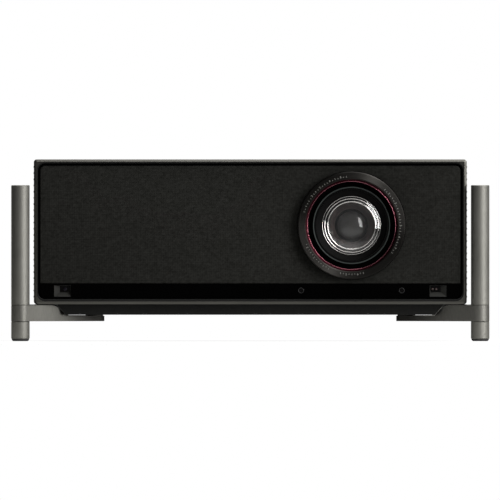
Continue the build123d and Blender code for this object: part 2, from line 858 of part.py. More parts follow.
# Lens barrel: the moving tube with a light shield, two motor ears, the ring seats and a rear flange
focus_pinion_at = 135.0
zoom_pinion_at = 45.0
gear_centre = (ring_teeth + pinion_teeth) * gear_module / 2
with BuildPart() as lens_barrel:
    with BuildSketch(Plane.XY.offset(lens_z)):
        with BuildLine():
            Polyline(
                *on_lens(
                    (
                        (cell_bore, barrel_front),
                        (barrel_r - edge_break, barrel_front),
                        (barrel_r, barrel_front + edge_break),
                        (barrel_r, shield_front),
                        (shield_r, shield_front),
                        (shield_r, shield_front + shield_t),
                        (barrel_r, shield_front + shield_t),
                        (barrel_r, shoulder),
                        (neck_r, shoulder),
                        (neck_r, collar_front),
                        (collar_r, collar_front),
                        (collar_r, collar_front + collar_t),
                        (neck_r, collar_front + collar_t),
                        (neck_r, zoom_ear),
                        (collar_r, zoom_ear),
                        (collar_r, zoom_ear + ear_t),
                        (neck_r, zoom_ear + ear_t),
                        (neck_r, lens_flange),
                        (lens_flange_r, lens_flange),
                        (lens_flange_r, cross_front),
                        (tube_r, cross_front),
                        (tube_r, cross_front + tube_len),
                        (tube_bore, cross_front + tube_len),
                        (tube_bore, lens_flange),
                        (neck_bore, lens_flange - bore_taper),
                        (neck_bore, shoulder),
                        (cell_bore, shoulder - bore_taper),
                    )
                ),
                close=True,
            )
        make_face()
    revolve(axis=lens_axis)
    ears = ((shoulder, focus_pinion_at, cell_bore), (zoom_ear + ear_t, zoom_pinion_at, neck_r))
    for back, angle, inner in ears:
        with BuildSketch(front_plane(back)):
            with Locations(polar((neck_r + gear_centre) / 2, angle)):
                SlotCenterToCenter(gear_centre - neck_r, 2 * ear_r, rotation=angle)
            with Locations((lens_x, lens_z)):
                Circle(inner + 1, mode=Mode.SUBTRACT)
            with Locations(polar(gear_centre, angle)):
                Circle(shaft_r + slide_gap, mode=Mode.SUBTRACT)
        extrude(amount=ear_t)
save(lens_barrel, "lens_barrel")

# Front lens cell: the sleeve that carries the front glass and slides in the barrel to focus
cell_front = barrel_front + cell_recess
glass_front = cell_front + glass_inset
with BuildPart() as front_cell:
    with BuildSketch(Plane.XY.offset(lens_z)):
        with BuildLine():
            Polyline(
                *on_lens(
                    (
                        (cell_bore - slide_gap, cell_front),
                        (cell_bore - slide_gap, cell_front + cell_len),
                        (glass_r - glass_lip, cell_front + cell_len),
                        (glass_r - glass_lip, glass_front + glass_edge),
                        (glass_r + run_gap, glass_front + glass_edge),
                        (glass_r + run_gap, glass_front - 1),
                    )
                ),
                close=True,
            )
        make_face()
    revolve(axis=lens_axis)
save(front_cell, "front_lens_cell")


def lens_section(r, y_edge, edge, front_sag, back_sag):
    """Half section of one lens beside the lens axis; y_edge is the front of its rim."""
    with BuildSketch(Plane.XY.offset(lens_z)) as section:
        with BuildLine():
            front = dome_mid(r, y_edge, front_sag)
            back = dome_mid(r, y_edge + edge, -back_sag)
            ThreePointArc(*on_lens(((0, y_edge - front_sag), front, (r, y_edge))))
            Line(*on_lens(((r, y_edge), (r, y_edge + edge))))
            ThreePointArc(*on_lens(((r, y_edge + edge), back, (0, y_edge + edge + back_sag))))
            Line(*on_lens(((0, y_edge + edge + back_sag), (0, y_edge - front_sag))))
        make_face()
    return section.sketch


# Glass: the front lens in its cell, then an inner and a rear lens in the barrel
with BuildPart() as front_glass:
    revolve(lens_section(glass_r, glass_front, glass_edge, glass_sag, -glass_hollow), axis=lens_axis)
save(front_glass, "front_glass")

with BuildPart() as inner_lenses:
    inner_section = lens_section(neck_bore - run_gap, shoulder + inner_sag, inner_edge, inner_sag, rear_sag)
    revolve(inner_section, axis=lens_axis)
    rear_section = lens_section(tube_bore - run_gap, cross_back, rear_edge, rear_sag, rear_sag)
    revolve(rear_section, axis=lens_axis)
save(inner_lenses, "inner_lenses")


def gear_section(teeth, turn, centre, back):
    """Toothed outline in the front plane at depth back, one tooth at turn degrees."""
    with BuildSketch(front_plane(back)) as section:
        with BuildLine():
            Polyline(*[(centre[0] + x, centre[1] + z) for x, z in gear_points(teeth, turn)], close=True)
        make_face()
    return section.sketch


# Focus and zoom drives: toothed rings on the barrel, each with a pinion on its motor's shaft
focus_ear_front = shoulder - ear_t
zoom_ear_back = zoom_ear + ear_t
drives = (
    ("focus", focus_pinion_at, shoulder + slide_gap, focus_ear_front - shaft_grip, shoulder),
    ("zoom", zoom_pinion_at, zoom_front + slide_gap, zoom_ear, zoom_ear_back + shaft_grip),
)
for drive, angle, front, shaft_front, shaft_back in drives:
    with BuildPart() as gear_ring:
        extrude(gear_section(ring_teeth, angle, (lens_x, lens_z), front + ring_w), amount=ring_w)
        with BuildSketch(front_plane(front + ring_w)):
            with Locations((lens_x, lens_z)):
                Circle(neck_r + run_gap)
        extrude(amount=ring_w, mode=Mode.SUBTRACT)
    save(gear_ring, f"{drive}_ring")
    with BuildPart() as pinion:
        turn = angle + 180 + 180 / pinion_teeth
        extrude(gear_section(pinion_teeth, turn, polar(gear_centre, angle), front + ring_w), amount=ring_w)
        with BuildSketch(front_plane(max(shaft_back, front + ring_w))):
            with Locations(polar(gear_centre, angle)):
                Circle(shaft_r)
        extrude(amount=max(shaft_back, front + ring_w) - min(shaft_front, front))
    save(pinion, f"{drive}_pinion")

# Lens motors: focus and zoom cans on the barrel's ears and the cross-shift can on the cross plate
cross_screw_y = (cross_front + cross_back) / 2
cross_screw_z = lens_z - plate_h / 2 - cross_drop
cross_motor_x = lens_x - cross_span / 2 - lug_w / 2
with BuildPart() as lens_motors:
    for back, angle in ((focus_ear_front, focus_pinion_at), (zoom_ear_back + motor_len, zoom_pinion_at)):
        with BuildSketch(front_plane(back)):
            with Locations(polar(gear_centre, angle)):
                Circle(motor_r)
        extrude(amount=motor_len)
        grip_back = back if angle == focus_pinion_at else zoom_ear_back + shaft_grip + shaft_end
        with BuildSketch(front_plane(grip_back)):
            with Locations(polar(gear_centre, angle)):
                Circle(shaft_r + run_gap)
        extrude(amount=shaft_grip + shaft_end, mode=Mode.SUBTRACT)
    with BuildSketch(Plane.YZ.offset(cross_motor_x - motor_len)):
        with Locations((cross_screw_y, cross_screw_z)):
            Circle(cross_motor_r)
    extrude(amount=motor_len)
    with BuildSketch(Plane.YZ.offset(cross_motor_x - shaft_grip)):
        with Locations((cross_screw_y, cross_screw_z)):
            Circle(screw_r + run_gap)
    extrude(amount=shaft_grip, mode=Mode.SUBTRACT)
save(lens_motors, "lens_motors")

# Cross plate: carries the barrel and slides left and right on the lift plate's keys
with BuildPart() as cross_plate:
    with BuildSketch(front_plane(cross_back)):
        with Locations((lens_x, lens_z)):
            Rectangle(cross_w, plate_h)
            Circle(tube_r + seat_gap, mode=Mode.SUBTRACT)
        for sx in (-1, 1):
            with Locations((lens_x + sx * cross_span / 2, lens_z - plate_h / 2 - cross_drop)):
                Rectangle(lug_w, 2 * cross_drop)
    extrude(amount=plate_t)
    with BuildSketch(front_plane(cross_back)):
        with Locations((lens_x, lens_z - cross_key_z), (lens_x, lens_z + cross_key_z)):
            Rectangle(cross_w, key_w + 2 * slide_gap)
    extrude(amount=key_d + slide_gap, mode=Mode.SUBTRACT)
    with BuildSketch(Plane.YZ.offset(lens_x - cross_w / 2)):
        with Locations((cross_screw_y, cross_screw_z)):
            Circle(screw_r + run_gap)
    extrude(amount=cross_w, mode=Mode.SUBTRACT)
save(cross_plate, "lens_cross_plate")

# Cross screw: turns in the cross plate's lugs and through the nut on the lift plate
with BuildPart() as cross_screw:
    with BuildSketch(Plane.YZ.offset(cross_motor_x - shaft_grip + shaft_end)):
        with Locations((cross_screw_y, cross_screw_z)):
            Circle(screw_r)
    extrude(amount=cross_span + lug_w + shaft_grip - shaft_end)
save(cross_screw, "cross_screw")

# Lift plate: slides up and down on the engine's keys, with a nut for each lead screw
lift_screw_x = lens_x - lift_w / 2 - lug_w
lift_screw_y = lift_back - lift_motor_w / 2 - slide_gap
nut_front = cross_screw_y - screw_r - nut_wall
with BuildPart() as lift_plate:
    with BuildSketch(front_plane(lift_back)):
        with Locations((lens_x, lens_z)):
            Rectangle(lift_w, plate_h)
            Circle(tube_r + lens_shift_h + 1, mode=Mode.SUBTRACT)
        with Locations((lens_x, lens_z - plate_h / 2 - cross_drop)):
            Rectangle(nut_w, 2 * cross_drop)
    extrude(amount=plate_t)
    with BuildSketch(front_plane(lift_front)):
        with Locations((lens_x, lens_z - cross_key_z), (lens_x, lens_z + cross_key_z)):
            Rectangle(lift_w, key_w)
    extrude(amount=key_d)
    with BuildSketch(front_plane(lift_front)):
        with Locations((lens_x, cross_screw_z - slide_gap)):
            Rectangle(nut_w, 2 * cross_drop - 2 * slide_gap)
    extrude(amount=lift_front - nut_front)
    with BuildSketch(front_plane(lift_back)):
        with Locations((lens_x - lift_key_x, lens_z), (lens_x + lift_key_x, lens_z)):
            Rectangle(key_w + 2 * slide_gap, plate_h)
    extrude(amount=key_d + slide_gap, mode=Mode.SUBTRACT)
    with BuildSketch(Plane.XY.offset(lens_z - nut_w / 2)):
        with Locations((lift_screw_x, lift_screw_y)):
            Rectangle(2 * lug_w, lift_motor_w)
        with Locations((lift_screw_x, lift_back)):
            Rectangle(2 * lug_w, lift_motor_w, align=(Align.CENTER, Align.MIN), mode=Mode.SUBTRACT)
    extrude(amount=nut_w)
    with Locations((lift_screw_x, lift_screw_y, lens_z)):
        Cylinder(screw_r + thread_gap, plate_h, mode=Mode.SUBTRACT)
    with BuildSketch(Plane.YZ.offset(lens_x - nut_w)):
        with Locations((cross_screw_y, cross_screw_z)):
            Circle(screw_r + thread_gap)
    extrude(amount=2 * nut_w, mode=Mode.SUBTRACT)
save(lift_plate, "lens_lift_plate")

# Lift motor on the chassis floor, and its screw up to the bearing on the light engine
with BuildPart() as lift_motor:
    with BuildSketch(Plane.XY.offset(floor_top)):
        with Locations((lift_screw_x, lift_screw_y)):
            Rectangle(lift_motor_w, lift_motor_w)
    extrude(amount=lift_motor_h)
    with Locations((lift_screw_x, lift_screw_y, floor_top + lift_motor_h - shaft_grip)):
        Cylinder(screw_r + run_gap, shaft_grip, align=low, mode=Mode.SUBTRACT)
save(lift_motor, "lift_motor")

with BuildPart() as lift_screw:
    with Locations((lift_screw_x, lift_screw_y, floor_top + lift_motor_h - shaft_grip + shaft_end)):
        Cylinder(screw_r, engine_top - floor_top - lift_motor_h + shaft_grip - 2 * shaft_end, align=low)
save(lift_screw, "lift_screw")

# Light engine housing: a closed box on four legs, with keys for the lift plate and a lens opening
beam_z = lens_z
wheel_x = engine_left + engine_wall + wheel_gap
prism_z = beam_z - prism_h / 2
prism_front = engine_front + prism_back
with BuildPart() as engine_housing:
    with BuildSketch(Plane.XY.offset(engine_z)):
        with Locations((engine_mid, (engine_front + engine_back) / 2)):
            Rectangle(engine_w, engine_d)
    extrude(amount=engine_h)
    with BuildSketch(Plane.XY.offset(engine_z + engine_wall)):
        with Locations((engine_mid, (engine_front + engine_back) / 2)):
            Rectangle(engine_w - 2 * engine_wall, engine_d - 2 * engine_wall)
    extrude(amount=engine_h - 2 * engine_wall, mode=Mode.SUBTRACT)
    with BuildSketch(front_plane(engine_front + engine_wall)):
        with Locations((lens_x, lens_z)):
            Circle(tube_r + shift_reach + 1)
    extrude(amount=engine_wall, mode=Mode.SUBTRACT)
    with BuildSketch(front_plane(engine_front)):
        with Locations((lens_x - lift_key_x, lens_z), (lens_x + lift_key_x, lens_z)):
            Rectangle(key_w, plate_h)
    extrude(amount=key_d)
    with BuildSketch(front_plane(engine_back)):
        with Locations((lens_x, lens_z)):
            Rectangle(chip_w + 2 * slide_gap, chip_h + 2 * slide_gap)
    extrude(amount=engine_wall, mode=Mode.SUBTRACT)
    with BuildSketch(Plane.YZ.offset(engine_left)):
        with Locations((beam_y, beam_z)):
            Circle(snout_r + slide_gap)
    extrude(amount=engine_wall, mode=Mode.SUBTRACT)
    with BuildSketch(Plane.YZ.offset(engine_left + engine_wall)):
        with Locations((beam_y + wheel_offset, beam_z)):
            Circle(3 * wheel_shaft_r)
            Circle(wheel_shaft_r + run_gap, mode=Mode.SUBTRACT)
    extrude(amount=stub_len)
    with BuildSketch(Plane.XY.offset(engine_z + engine_wall)):
        with Locations((lens_x, prism_front)):
            Rectangle(prism_w, prism_w, align=(Align.CENTER, Align.MIN))
    extrude(amount=prism_z - engine_z - engine_wall)
    with BuildSketch(Plane.XY.offset(floor_top)):
        with Locations((engine_mid, (engine_front + engine_back) / 2)):
            with GridLocations(engine_w - 4 * leg_r, engine_d - 4 * leg_r, 2, 2):
                Circle(leg_r)
    extrude(amount=engine_lift)
    with BuildSketch(Plane.XY.offset(engine_top - engine_wall)):
        with Locations((lift_screw_x, engine_front)):
            Rectangle(lift_motor_w, engine_front - lift_screw_y + lug_w, align=(Align.CENTER, Align.MAX))
        with Locations((lift_screw_x, lift_screw_y)):
            Circle(screw_r + run_gap, mode=Mode.SUBTRACT)
    extrude(amount=engine_wall)
save(engine_housing, "engine_housing")

# Engine optics: the light rod bonded to the prism on its pedestal
with BuildPart() as engine_optics:
    with BuildSketch(Plane.XY.offset(prism_z)):
        with BuildLine():
            Polyline(
                (lens_x - prism_w / 2, prism_front),
                (lens_x + prism_w / 2, prism_front),
                (lens_x - prism_w / 2, prism_front + prism_w),
                close=True,
            )
        make_face()
    extrude(amount=prism_h)
    with BuildSketch(Plane.YZ.offset(wheel_x + wheel_t + rod_gap)):
        with Locations((beam_y, beam_z)):
            Rectangle(rod_w, rod_w)
    extrude(amount=lens_x - prism_w / 2 - wheel_x - wheel_t - rod_gap)
save(engine_optics, "engine_optics")

# Diffuser wheel: a thin disc that spins in the beam on a stub in the housing
with BuildPart() as diffuser_wheel:
    with BuildSketch(Plane.YZ.offset(wheel_x)):
        with Locations((beam_y + wheel_offset, beam_z)):
            Circle(wheel_r)
    extrude(amount=wheel_t)
    with BuildSketch(Plane.YZ.offset(engine_left + engine_wall + slide_gap)):
        with Locations((beam_y + wheel_offset, beam_z)):
            Circle(wheel_shaft_r)
    extrude(amount=wheel_x - engine_left - engine_wall - slide_gap)
save(diffuser_wheel, "diffuser_wheel")

# Chip board behind the housing's rear window, and the heat sink on its back
with BuildPart() as chip_board:
    with BuildSketch(front_plane(engine_back + board_t)):
        with Locations((lens_x, lens_z)):
            Rectangle(chip_board_w, chip_board_h)
    extrude(amount=board_t)
    with BuildSketch(front_plane(engine_back)):
        with Locations((lens_x, lens_z)):
            Rectangle(chip_w, chip_h)
    extrude(amount=engine_wall - 1)
save(chip_board, "chip_board")

with BuildPart() as chip_sink:
    with BuildSketch(front_plane(engine_back + board_t + sink_base)):
        with Locations((lens_x, lens_z)):
            Rectangle(sink_w, sink_h)
    extrude(amount=sink_base)
    with BuildSketch(front_plane(engine_back + board_t + sink_d)):
        with Locations((lens_x, lens_z)):
            with GridLocations((sink_w - fin_t * 2) / 11, sink_h, 12, 1):
                Rectangle(fin_t * 2, sink_h)
    extrude(amount=sink_d - sink_base)
save(chip_sink, "chip_heat_sink")

# Laser module on the housing's left wall, its snout in the beam hole
laser_left = engine_left - laser_w
with BuildPart() as laser_module:
    with BuildSketch(Plane.YZ.offset(laser_left)):
        with Locations((beam_y, beam_z)):
            RectangleRounded(laser_d, laser_h, corner_r)
    extrude(amount=laser_w)
    with BuildSketch(Plane.YZ.offset(engine_left)):
        with Locations((beam_y, beam_z)):
            Circle(snout_r)
    extrude(amount=engine_wall)
save(laser_module, "laser_module")

# Heat pipes from the laser module through the fin stack
with BuildPart() as heat_pipes:
    with BuildSketch(Plane.YZ.offset(fin_left)):
        with Locations((beam_y, beam_z)):
            with GridLocations(pipe_dy, pipe_dz, 2, 2):
                Circle(pipe_r)
    extrude(amount=laser_left - fin_left)
save(heat_pipes, "heat_pipes")

fin_run = (fin_count - 1) * fin_pitch
with BuildPart() as fin_stack:
    with BuildSketch(Plane.XY.offset(floor_top)):
        with Locations((fin_left, beam_y)):
            Rectangle(fin_run + fin_t, fin_d, align=(Align.MIN, Align.CENTER))
    extrude(amount=fin_t * 2)
    with BuildSketch(Plane.XY.offset(floor_top)):
        with Locations((fin_left + (fin_run + fin_t) / 2, beam_y)):
            with GridLocations(fin_pitch, fin_d, fin_count, 1):
                Rectangle(fin_t, fin_d)
    extrude(amount=fin_h)
    with BuildSketch(Plane.YZ.offset(fin_left)):
        with Locations((beam_y, beam_z)):
            with GridLocations(pipe_dy, pipe_dz, 2, 2):
                Circle(pipe_r + run_gap)
    extrude(amount=fin_run + fin_t, mode=Mode.SUBTRACT)
save(fin_stack, "fin_stack")


# Fans: a square frame with struts and a bearing tube, and a bladed rotor on a shaft
def axial_fan(name, x_out, turn, y_mid):
    """Build one fan standing on the chassis floor; its struts face into the body."""
    inner_face = (x_out + turn * fan_t, y_mid, floor_top + fan_size / 2)
    face = Plane(inner_face, x_dir=(0, 1, 0), z_dir=(-turn, 0, 0))
    with BuildPart() as frame:
        with BuildSketch(face):
            RectangleRounded(fan_size, fan_size, corner_r)
            Circle(fan_bore_r, mode=Mode.SUBTRACT)
            with GridLocations(fan_hole_pitch, fan_hole_pitch, 2, 2):
                Circle(screw_r, mode=Mode.SUBTRACT)
        extrude(amount=fan_t)
        with BuildSketch(face):
            Circle(fan_hub_r)
            Rectangle(2 * fan_bore_r + 2, 2 * fan_strut_t)
            Rectangle(2 * fan_strut_t, 2 * fan_bore_r + 2)
        extrude(amount=fan_strut_t)
        with BuildSketch(face.offset(fan_strut_t)):
            Circle(4 * fan_shaft_r)
            Circle(fan_shaft_r + run_gap, mode=Mode.SUBTRACT)
        extrude(amount=fan_tube_len)
    save(frame, f"{name}_fan_frame")
    cup_start = fan_strut_t + fan_cup_gap
    cup_end = fan_t - fan_cup_inset
    with BuildPart() as rotor:
        with BuildSketch(face.offset(cup_start)):
            Circle(fan_hub_r)
        extrude(amount=cup_end - cup_start)
        with BuildSketch(face.offset(cup_start)):
            Circle(fan_hub_r - wall)
        extrude(amount=cup_end - cup_start - wall, mode=Mode.SUBTRACT)
        with BuildSketch(face.offset(fan_strut_t + slide_gap)):
            Circle(fan_shaft_r)
        extrude(amount=cup_end - fan_strut_t - wall / 2)
        blade_len = fan_tip_r - fan_hub_r + 1
        with Locations(face.offset((cup_start + cup_end) / 2)):
            with PolarLocations(fan_hub_r - 1 + blade_len / 2, fan_blades):
                Box(blade_len, fan_blade_t, fan_t / 2, rotation=(fan_pitch_angle, 0, 0))
    save(rotor, f"{name}_fan_rotor")


axial_fan("intake", -inner_x + fan_side_gap, 1, beam_y)
axial_fan("exhaust", inner_x - fan_side_gap, -1, exhaust_y)

# Main board on its standoffs, with the processor's heat sink and a row of coils
with BuildPart() as main_board:
    with BuildSketch(Plane.XY.offset(main_board_z)):
        with Locations((main_board_x, main_board_y)):
            Rectangle(main_board_w, main_board_d)
    extrude(amount=board_t)
    with BuildSketch(Plane.XY.offset(main_board_z + board_t)):
        with Locations((main_board_x, main_board_y - main_board_d / 5)):
            with GridLocations(chip_fin_pitch, chip_fin_d, chip_fins, 1):
                Rectangle(fin_t * 2, chip_fin_d)
        with Locations((main_board_x + main_board_w / 3, main_board_y - main_board_d / 5)):
            with GridLocations(coil_pitch, coil_pitch, 3, 2):
                Rectangle(coil_w, coil_w)
    extrude(amount=chip_fin_h)
save(main_board, "main_board")

# Rear sockets: open metal shells on the main board's rear edge
with BuildPart() as rear_sockets:
    for x, w, h in ports:
        mid = (x, port_floor + h / 2)
        with BuildSketch(front_plane(body_back)):
            with Locations(mid):
                Rectangle(w + 2 * shell_t, h + 2 * shell_t)
        extrude(amount=port_depth + shell_t)
        with BuildSketch(front_plane(body_back)):
            with Locations(mid):
                Rectangle(w, h)
        extrude(amount=port_depth, mode=Mode.SUBTRACT)
save(rear_sockets, "rear_sockets")

# Power supply board with its transformer, capacitors and heat spreader
with BuildPart() as power_supply:
    with BuildSketch(Plane.XY.offset(supply_z)):
        with Locations((supply_x, supply_y)):
            Rectangle(supply_w, supply_d)
    extrude(amount=board_t)
    with BuildSketch(Plane.XY.offset(supply_z + board_t)):
        with Locations((supply_x - supply_w / 4, supply_y)):
            Rectangle(transformer_w, transformer_w)
        with Locations((supply_x, supply_y + supply_d / 2 - spreader_t)):
            Rectangle(supply_w * 0.8, spreader_t)
    extrude(amount=transformer_h)
    with BuildSketch(Plane.XY.offset(supply_z + board_t)):
        with Locations((supply_x + supply_w / 4, supply_y - spreader_t)):
            with GridLocations(capacitor_pitch, capacitor_pitch, 2, 2):
                Circle(capacitor_r)
    extrude(amount=capacitor_h)
save(power_supply, "power_supply")

# Mains inlet: a flanged socket in the rear panel with three pins
with BuildPart() as mains_inlet:
    with BuildSketch(front_plane(body_back)):
        with Locations((inlet_x, inlet_z)):
            Rectangle(inlet_w, inlet_h)
    extrude(amount=inlet_depth)
    with BuildSketch(front_plane(body_back + inlet_proud)):
        with Locations((inlet_x, inlet_z)):
            RectangleRounded(inlet_w + 2 * inlet_lip, inlet_h + 2 * inlet_lip, corner_r)
    extrude(amount=inlet_proud)
    with BuildSketch(front_plane(body_back + inlet_proud)):
        with Locations((inlet_x, inlet_z)):
            Rectangle(inlet_w - 2 * inlet_wall, inlet_h - 2 * inlet_wall)
    extrude(amount=inlet_depth + inlet_proud - inlet_wall, mode=Mode.SUBTRACT)
    with BuildSketch(front_plane(body_back - inlet_depth + inlet_wall + pin_out)):
        for k, rise in ((-1, -pin_w), (0, pin_w), (1, -pin_w)):
            with Locations((inlet_x + k * pin_pitch, inlet_z + rise)):
                Rectangle(pin_w, pin_h)
    extrude(amount=pin_out)
save(mains_inlet, "mains_inlet")

# Speakers: two sealed boxes on the chassis floor and an oval driver in the front of each
with BuildPart() as speaker_boxes:
    for sx in (-1, 1):
        with BuildSketch(Plane.XY.offset(floor_top)):
            with Locations((sx * speaker_x, bezel_back)):
                Rectangle(speaker_w, speaker_d, align=(Align.CENTER, Align.MIN))
        extrude(amount=speaker_h)
        with BuildSketch(Plane.XY.offset(floor_top + wall)):
            with Locations((sx * speaker_x, bezel_back + wall)):
                Rectangle(speaker_w - 2 * wall, speaker_d - 2 * wall, align=(Align.CENTER, Align.MIN))
        extrude(amount=speaker_h - 2 * wall, mode=Mode.SUBTRACT)
        with BuildSketch(front_plane(bezel_back + wall)):
            with Locations((sx * speaker_x, cloth_mid)):
                SlotOverall(driver_h - 1.5 * driver_rim, driver_w - 1.5 * driver_rim, rotation=90)
        extrude(amount=wall, mode=Mode.SUBTRACT)
save(speaker_boxes, "speaker_boxes")

with BuildPart() as speaker_drivers:
    for sx in (-1, 1):
        with BuildSketch(front_plane(bezel_back)):
            with Locations((sx * speaker_x, cloth_mid)):
                SlotOverall(driver_h, driver_w, rotation=90)
        extrude(amount=driver_flange)
        with BuildSketch(front_plane(bezel_back)):
            with Locations((sx * speaker_x, cloth_mid)):
                SlotOverall(driver_h - 2 * driver_rim, driver_w - 2 * driver_rim, rotation=90)
        extrude(amount=-cone_depth, taper=15)
        with BuildSketch(front_plane(bezel_back + cone_depth)):
            with Locations((sx * speaker_x, cloth_mid)):
                Circle(magnet_r)
        extrude(amount=-magnet_len)
        with BuildSketch(front_plane(flange_front)):
            with Locations((sx * speaker_x, cloth_mid)):
                SlotOverall(driver_h - 3 * driver_rim, driver_w - 3 * driver_rim, rotation=90)
        extrude(amount=-cone_depth * 0.6, taper=40, mode=Mode.SUBTRACT)
save(speaker_drivers, "speaker_drivers")
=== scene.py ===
import math

import bmesh
import bpy
from mathutils import Matrix, Vector


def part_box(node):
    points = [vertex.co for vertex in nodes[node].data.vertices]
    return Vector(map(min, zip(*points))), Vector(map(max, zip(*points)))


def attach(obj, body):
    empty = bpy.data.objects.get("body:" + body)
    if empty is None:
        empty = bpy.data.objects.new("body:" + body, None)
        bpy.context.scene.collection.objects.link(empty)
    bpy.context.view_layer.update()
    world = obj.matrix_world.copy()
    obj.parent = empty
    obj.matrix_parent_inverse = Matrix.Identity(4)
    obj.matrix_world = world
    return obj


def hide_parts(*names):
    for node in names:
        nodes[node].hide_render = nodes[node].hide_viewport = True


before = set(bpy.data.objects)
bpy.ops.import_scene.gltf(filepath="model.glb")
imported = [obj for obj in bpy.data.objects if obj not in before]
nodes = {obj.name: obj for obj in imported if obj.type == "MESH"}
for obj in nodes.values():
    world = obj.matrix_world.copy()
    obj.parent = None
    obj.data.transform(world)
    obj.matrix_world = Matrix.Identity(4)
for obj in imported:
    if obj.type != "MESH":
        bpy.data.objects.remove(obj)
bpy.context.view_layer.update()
scene = bpy.context.scene
scene.view_settings.view_transform = "Standard"

# Camera: straight on from the front through a very long lens, as the photograph was taken, so that
# the sides and the rear posts stay hidden. The picture is 450 mm wide at the front posts.
view_width, view_depth = 0.450, -0.150
view_x, view_z = -0.00027, 0.0819
camera_data = bpy.data.cameras.new("camera")
camera_data.sensor_width = 36
camera_data.lens = 1700
view_distance = view_width * camera_data.lens / camera_data.sensor_width
camera_data.clip_end = 2 * view_distance
camera = bpy.data.objects.new("camera", camera_data)
camera.location = (view_x, view_depth - view_distance, view_z)
camera.rotation_euler = (math.pi / 2, 0, 0)
scene.collection.objects.link(camera)
scene.camera = camera


# Posts, arms and feet: drawn posts on cast arms, and feet that screw into the arms from below.
# All are aluminium, brushed along their height and anodised a warm graphite.
def linear(code):
    """Turn an sRGB hex colour into the linear colour that the shaders take."""
    channels = [int(code[i:i + 2], 16) / 255 for i in (1, 3, 5)]
    return (*[c / 12.92 if c <= 0.04045 else ((c + 0.055) / 1.055) ** 2.4 for c in channels], 1.0)


def add_node(tree, kind, inputs=None, **settings):
    """Add a shader node with its settings; an input is a value or the socket that feeds it."""
    node = tree.nodes.new(kind)
    for name, value in settings.items():
        setattr(node, name, value)
    for name, value in (inputs or {}).items():
        if isinstance(value, bpy.types.NodeSocket):
            tree.links.new(value, node.inputs[name])
        else:
            node.inputs[name].default_value = value
    return node


def new_material(name):
    """Start a material with an empty node tree."""
    material = bpy.data.materials.new(name)
    material.use_nodes = True
    material.node_tree.nodes.clear()
    return material


def grained(name, colours, roughness, grain, relief, stretch=(1, 1, 1), **sockets):
    """A finish with an even grain: two tones, roughness range, grain width and relief in millimetres."""
    material = new_material(name)
    tree = material.node_tree
    cloud_width = 40 * grain
    where = add_node(tree, "ShaderNodeTexCoord")
    laid = add_node(tree, "ShaderNodeMapping", {"Vector": where.outputs["Object"], "Scale": stretch})
    speck = add_node(tree, "ShaderNodeTexNoise",
                     {"Vector": laid.outputs["Vector"], "Scale": 1000 / grain, "Detail": 2.0})
    cloud = add_node(tree, "ShaderNodeTexNoise",
                     {"Vector": where.outputs["Object"], "Scale": 1000 / cloud_width, "Detail": 3.0})
    blend = add_node(tree, "ShaderNodeMath", {0: speck.outputs["Fac"], 1: cloud.outputs["Fac"]},
                     operation="ADD")
    spread = {"Value": blend.outputs["Value"], "From Min": 0.6, "From Max": 1.4}
    share = add_node(tree, "ShaderNodeMapRange", spread)
    tone = add_node(tree, "ShaderNodeMix",
                    {0: share.outputs["Result"], 6: linear(colours[0]), 7: linear(colours[1])},
                    data_type="RGBA")
    rough = add_node(tree, "ShaderNodeMapRange",
                     {**spread, "To Min": roughness[0], "To Max": roughness[1]})
    shader = add_node(tree, "ShaderNodeBsdfPrincipled",
                      {"Base Color": tone.outputs[2], "Roughness": rough.outputs["Result"], **sockets})
    if relief:
        bump = add_node(tree, "ShaderNodeBump",
                        {"Height": speck.outputs["Fac"], "Distance": relief / 1000, "Strength": 1.0})
        tree.links.new(bump.outputs["Normal"], shader.inputs["Normal"])
    add_node(tree, "ShaderNodeOutputMaterial", {"Surface": shader.outputs["BSDF"]})
    return material


def dress(material, *names):
    """Give CAD nodes their finish."""
    for name in names:
        for slot in nodes[name].material_slots:
            slot.link = "OBJECT"
            slot.material = material


legs = ("front_left", "front_right", "rear_left", "rear_right")
# Drawn aluminium has fine lines along its length, which spread a highlight sideways round the post.
# The anodised layer dulls it where it is seen at a slant.
dull_edge = (0.3, 0.3, 0.3, 1.0)
drawn = grained("anodised_aluminium_drawn", ("#6B6A65", "#75746F"), (0.42, 0.47), 0.5, 0.0, (1, 1, 0.05),
                Metallic=1.0, Anisotropic=0.8, **{"Specular Tint": dull_edge})
# A cast face is brushed the same way and looks a little darker under the same anodising.
cast = grained("anodised_aluminium_cast", ("#5D5C58", "#6C6B66"), (0.39, 0.44), 1.0, 0.0, (1, 1, 0.2),
               Metallic=1.0, Anisotropic=0.75, **{"Specular Tint": dull_edge})
# The lines run along an axis that is hardly off upright, so that level faces have a direction too.
brush_axis = (0.02, 0, 1)
for brushed in (drawn, cast):
    tree = brushed.node_tree
    shape = add_node(tree, "ShaderNodeNewGeometry")
    across = add_node(tree, "ShaderNodeVectorMath", {0: shape.outputs["Normal"], 1: brush_axis},
                      operation="CROSS_PRODUCT")
    tree.links.new(across.outputs["Vector"], tree.nodes["Principled BSDF"].inputs["Tangent"])
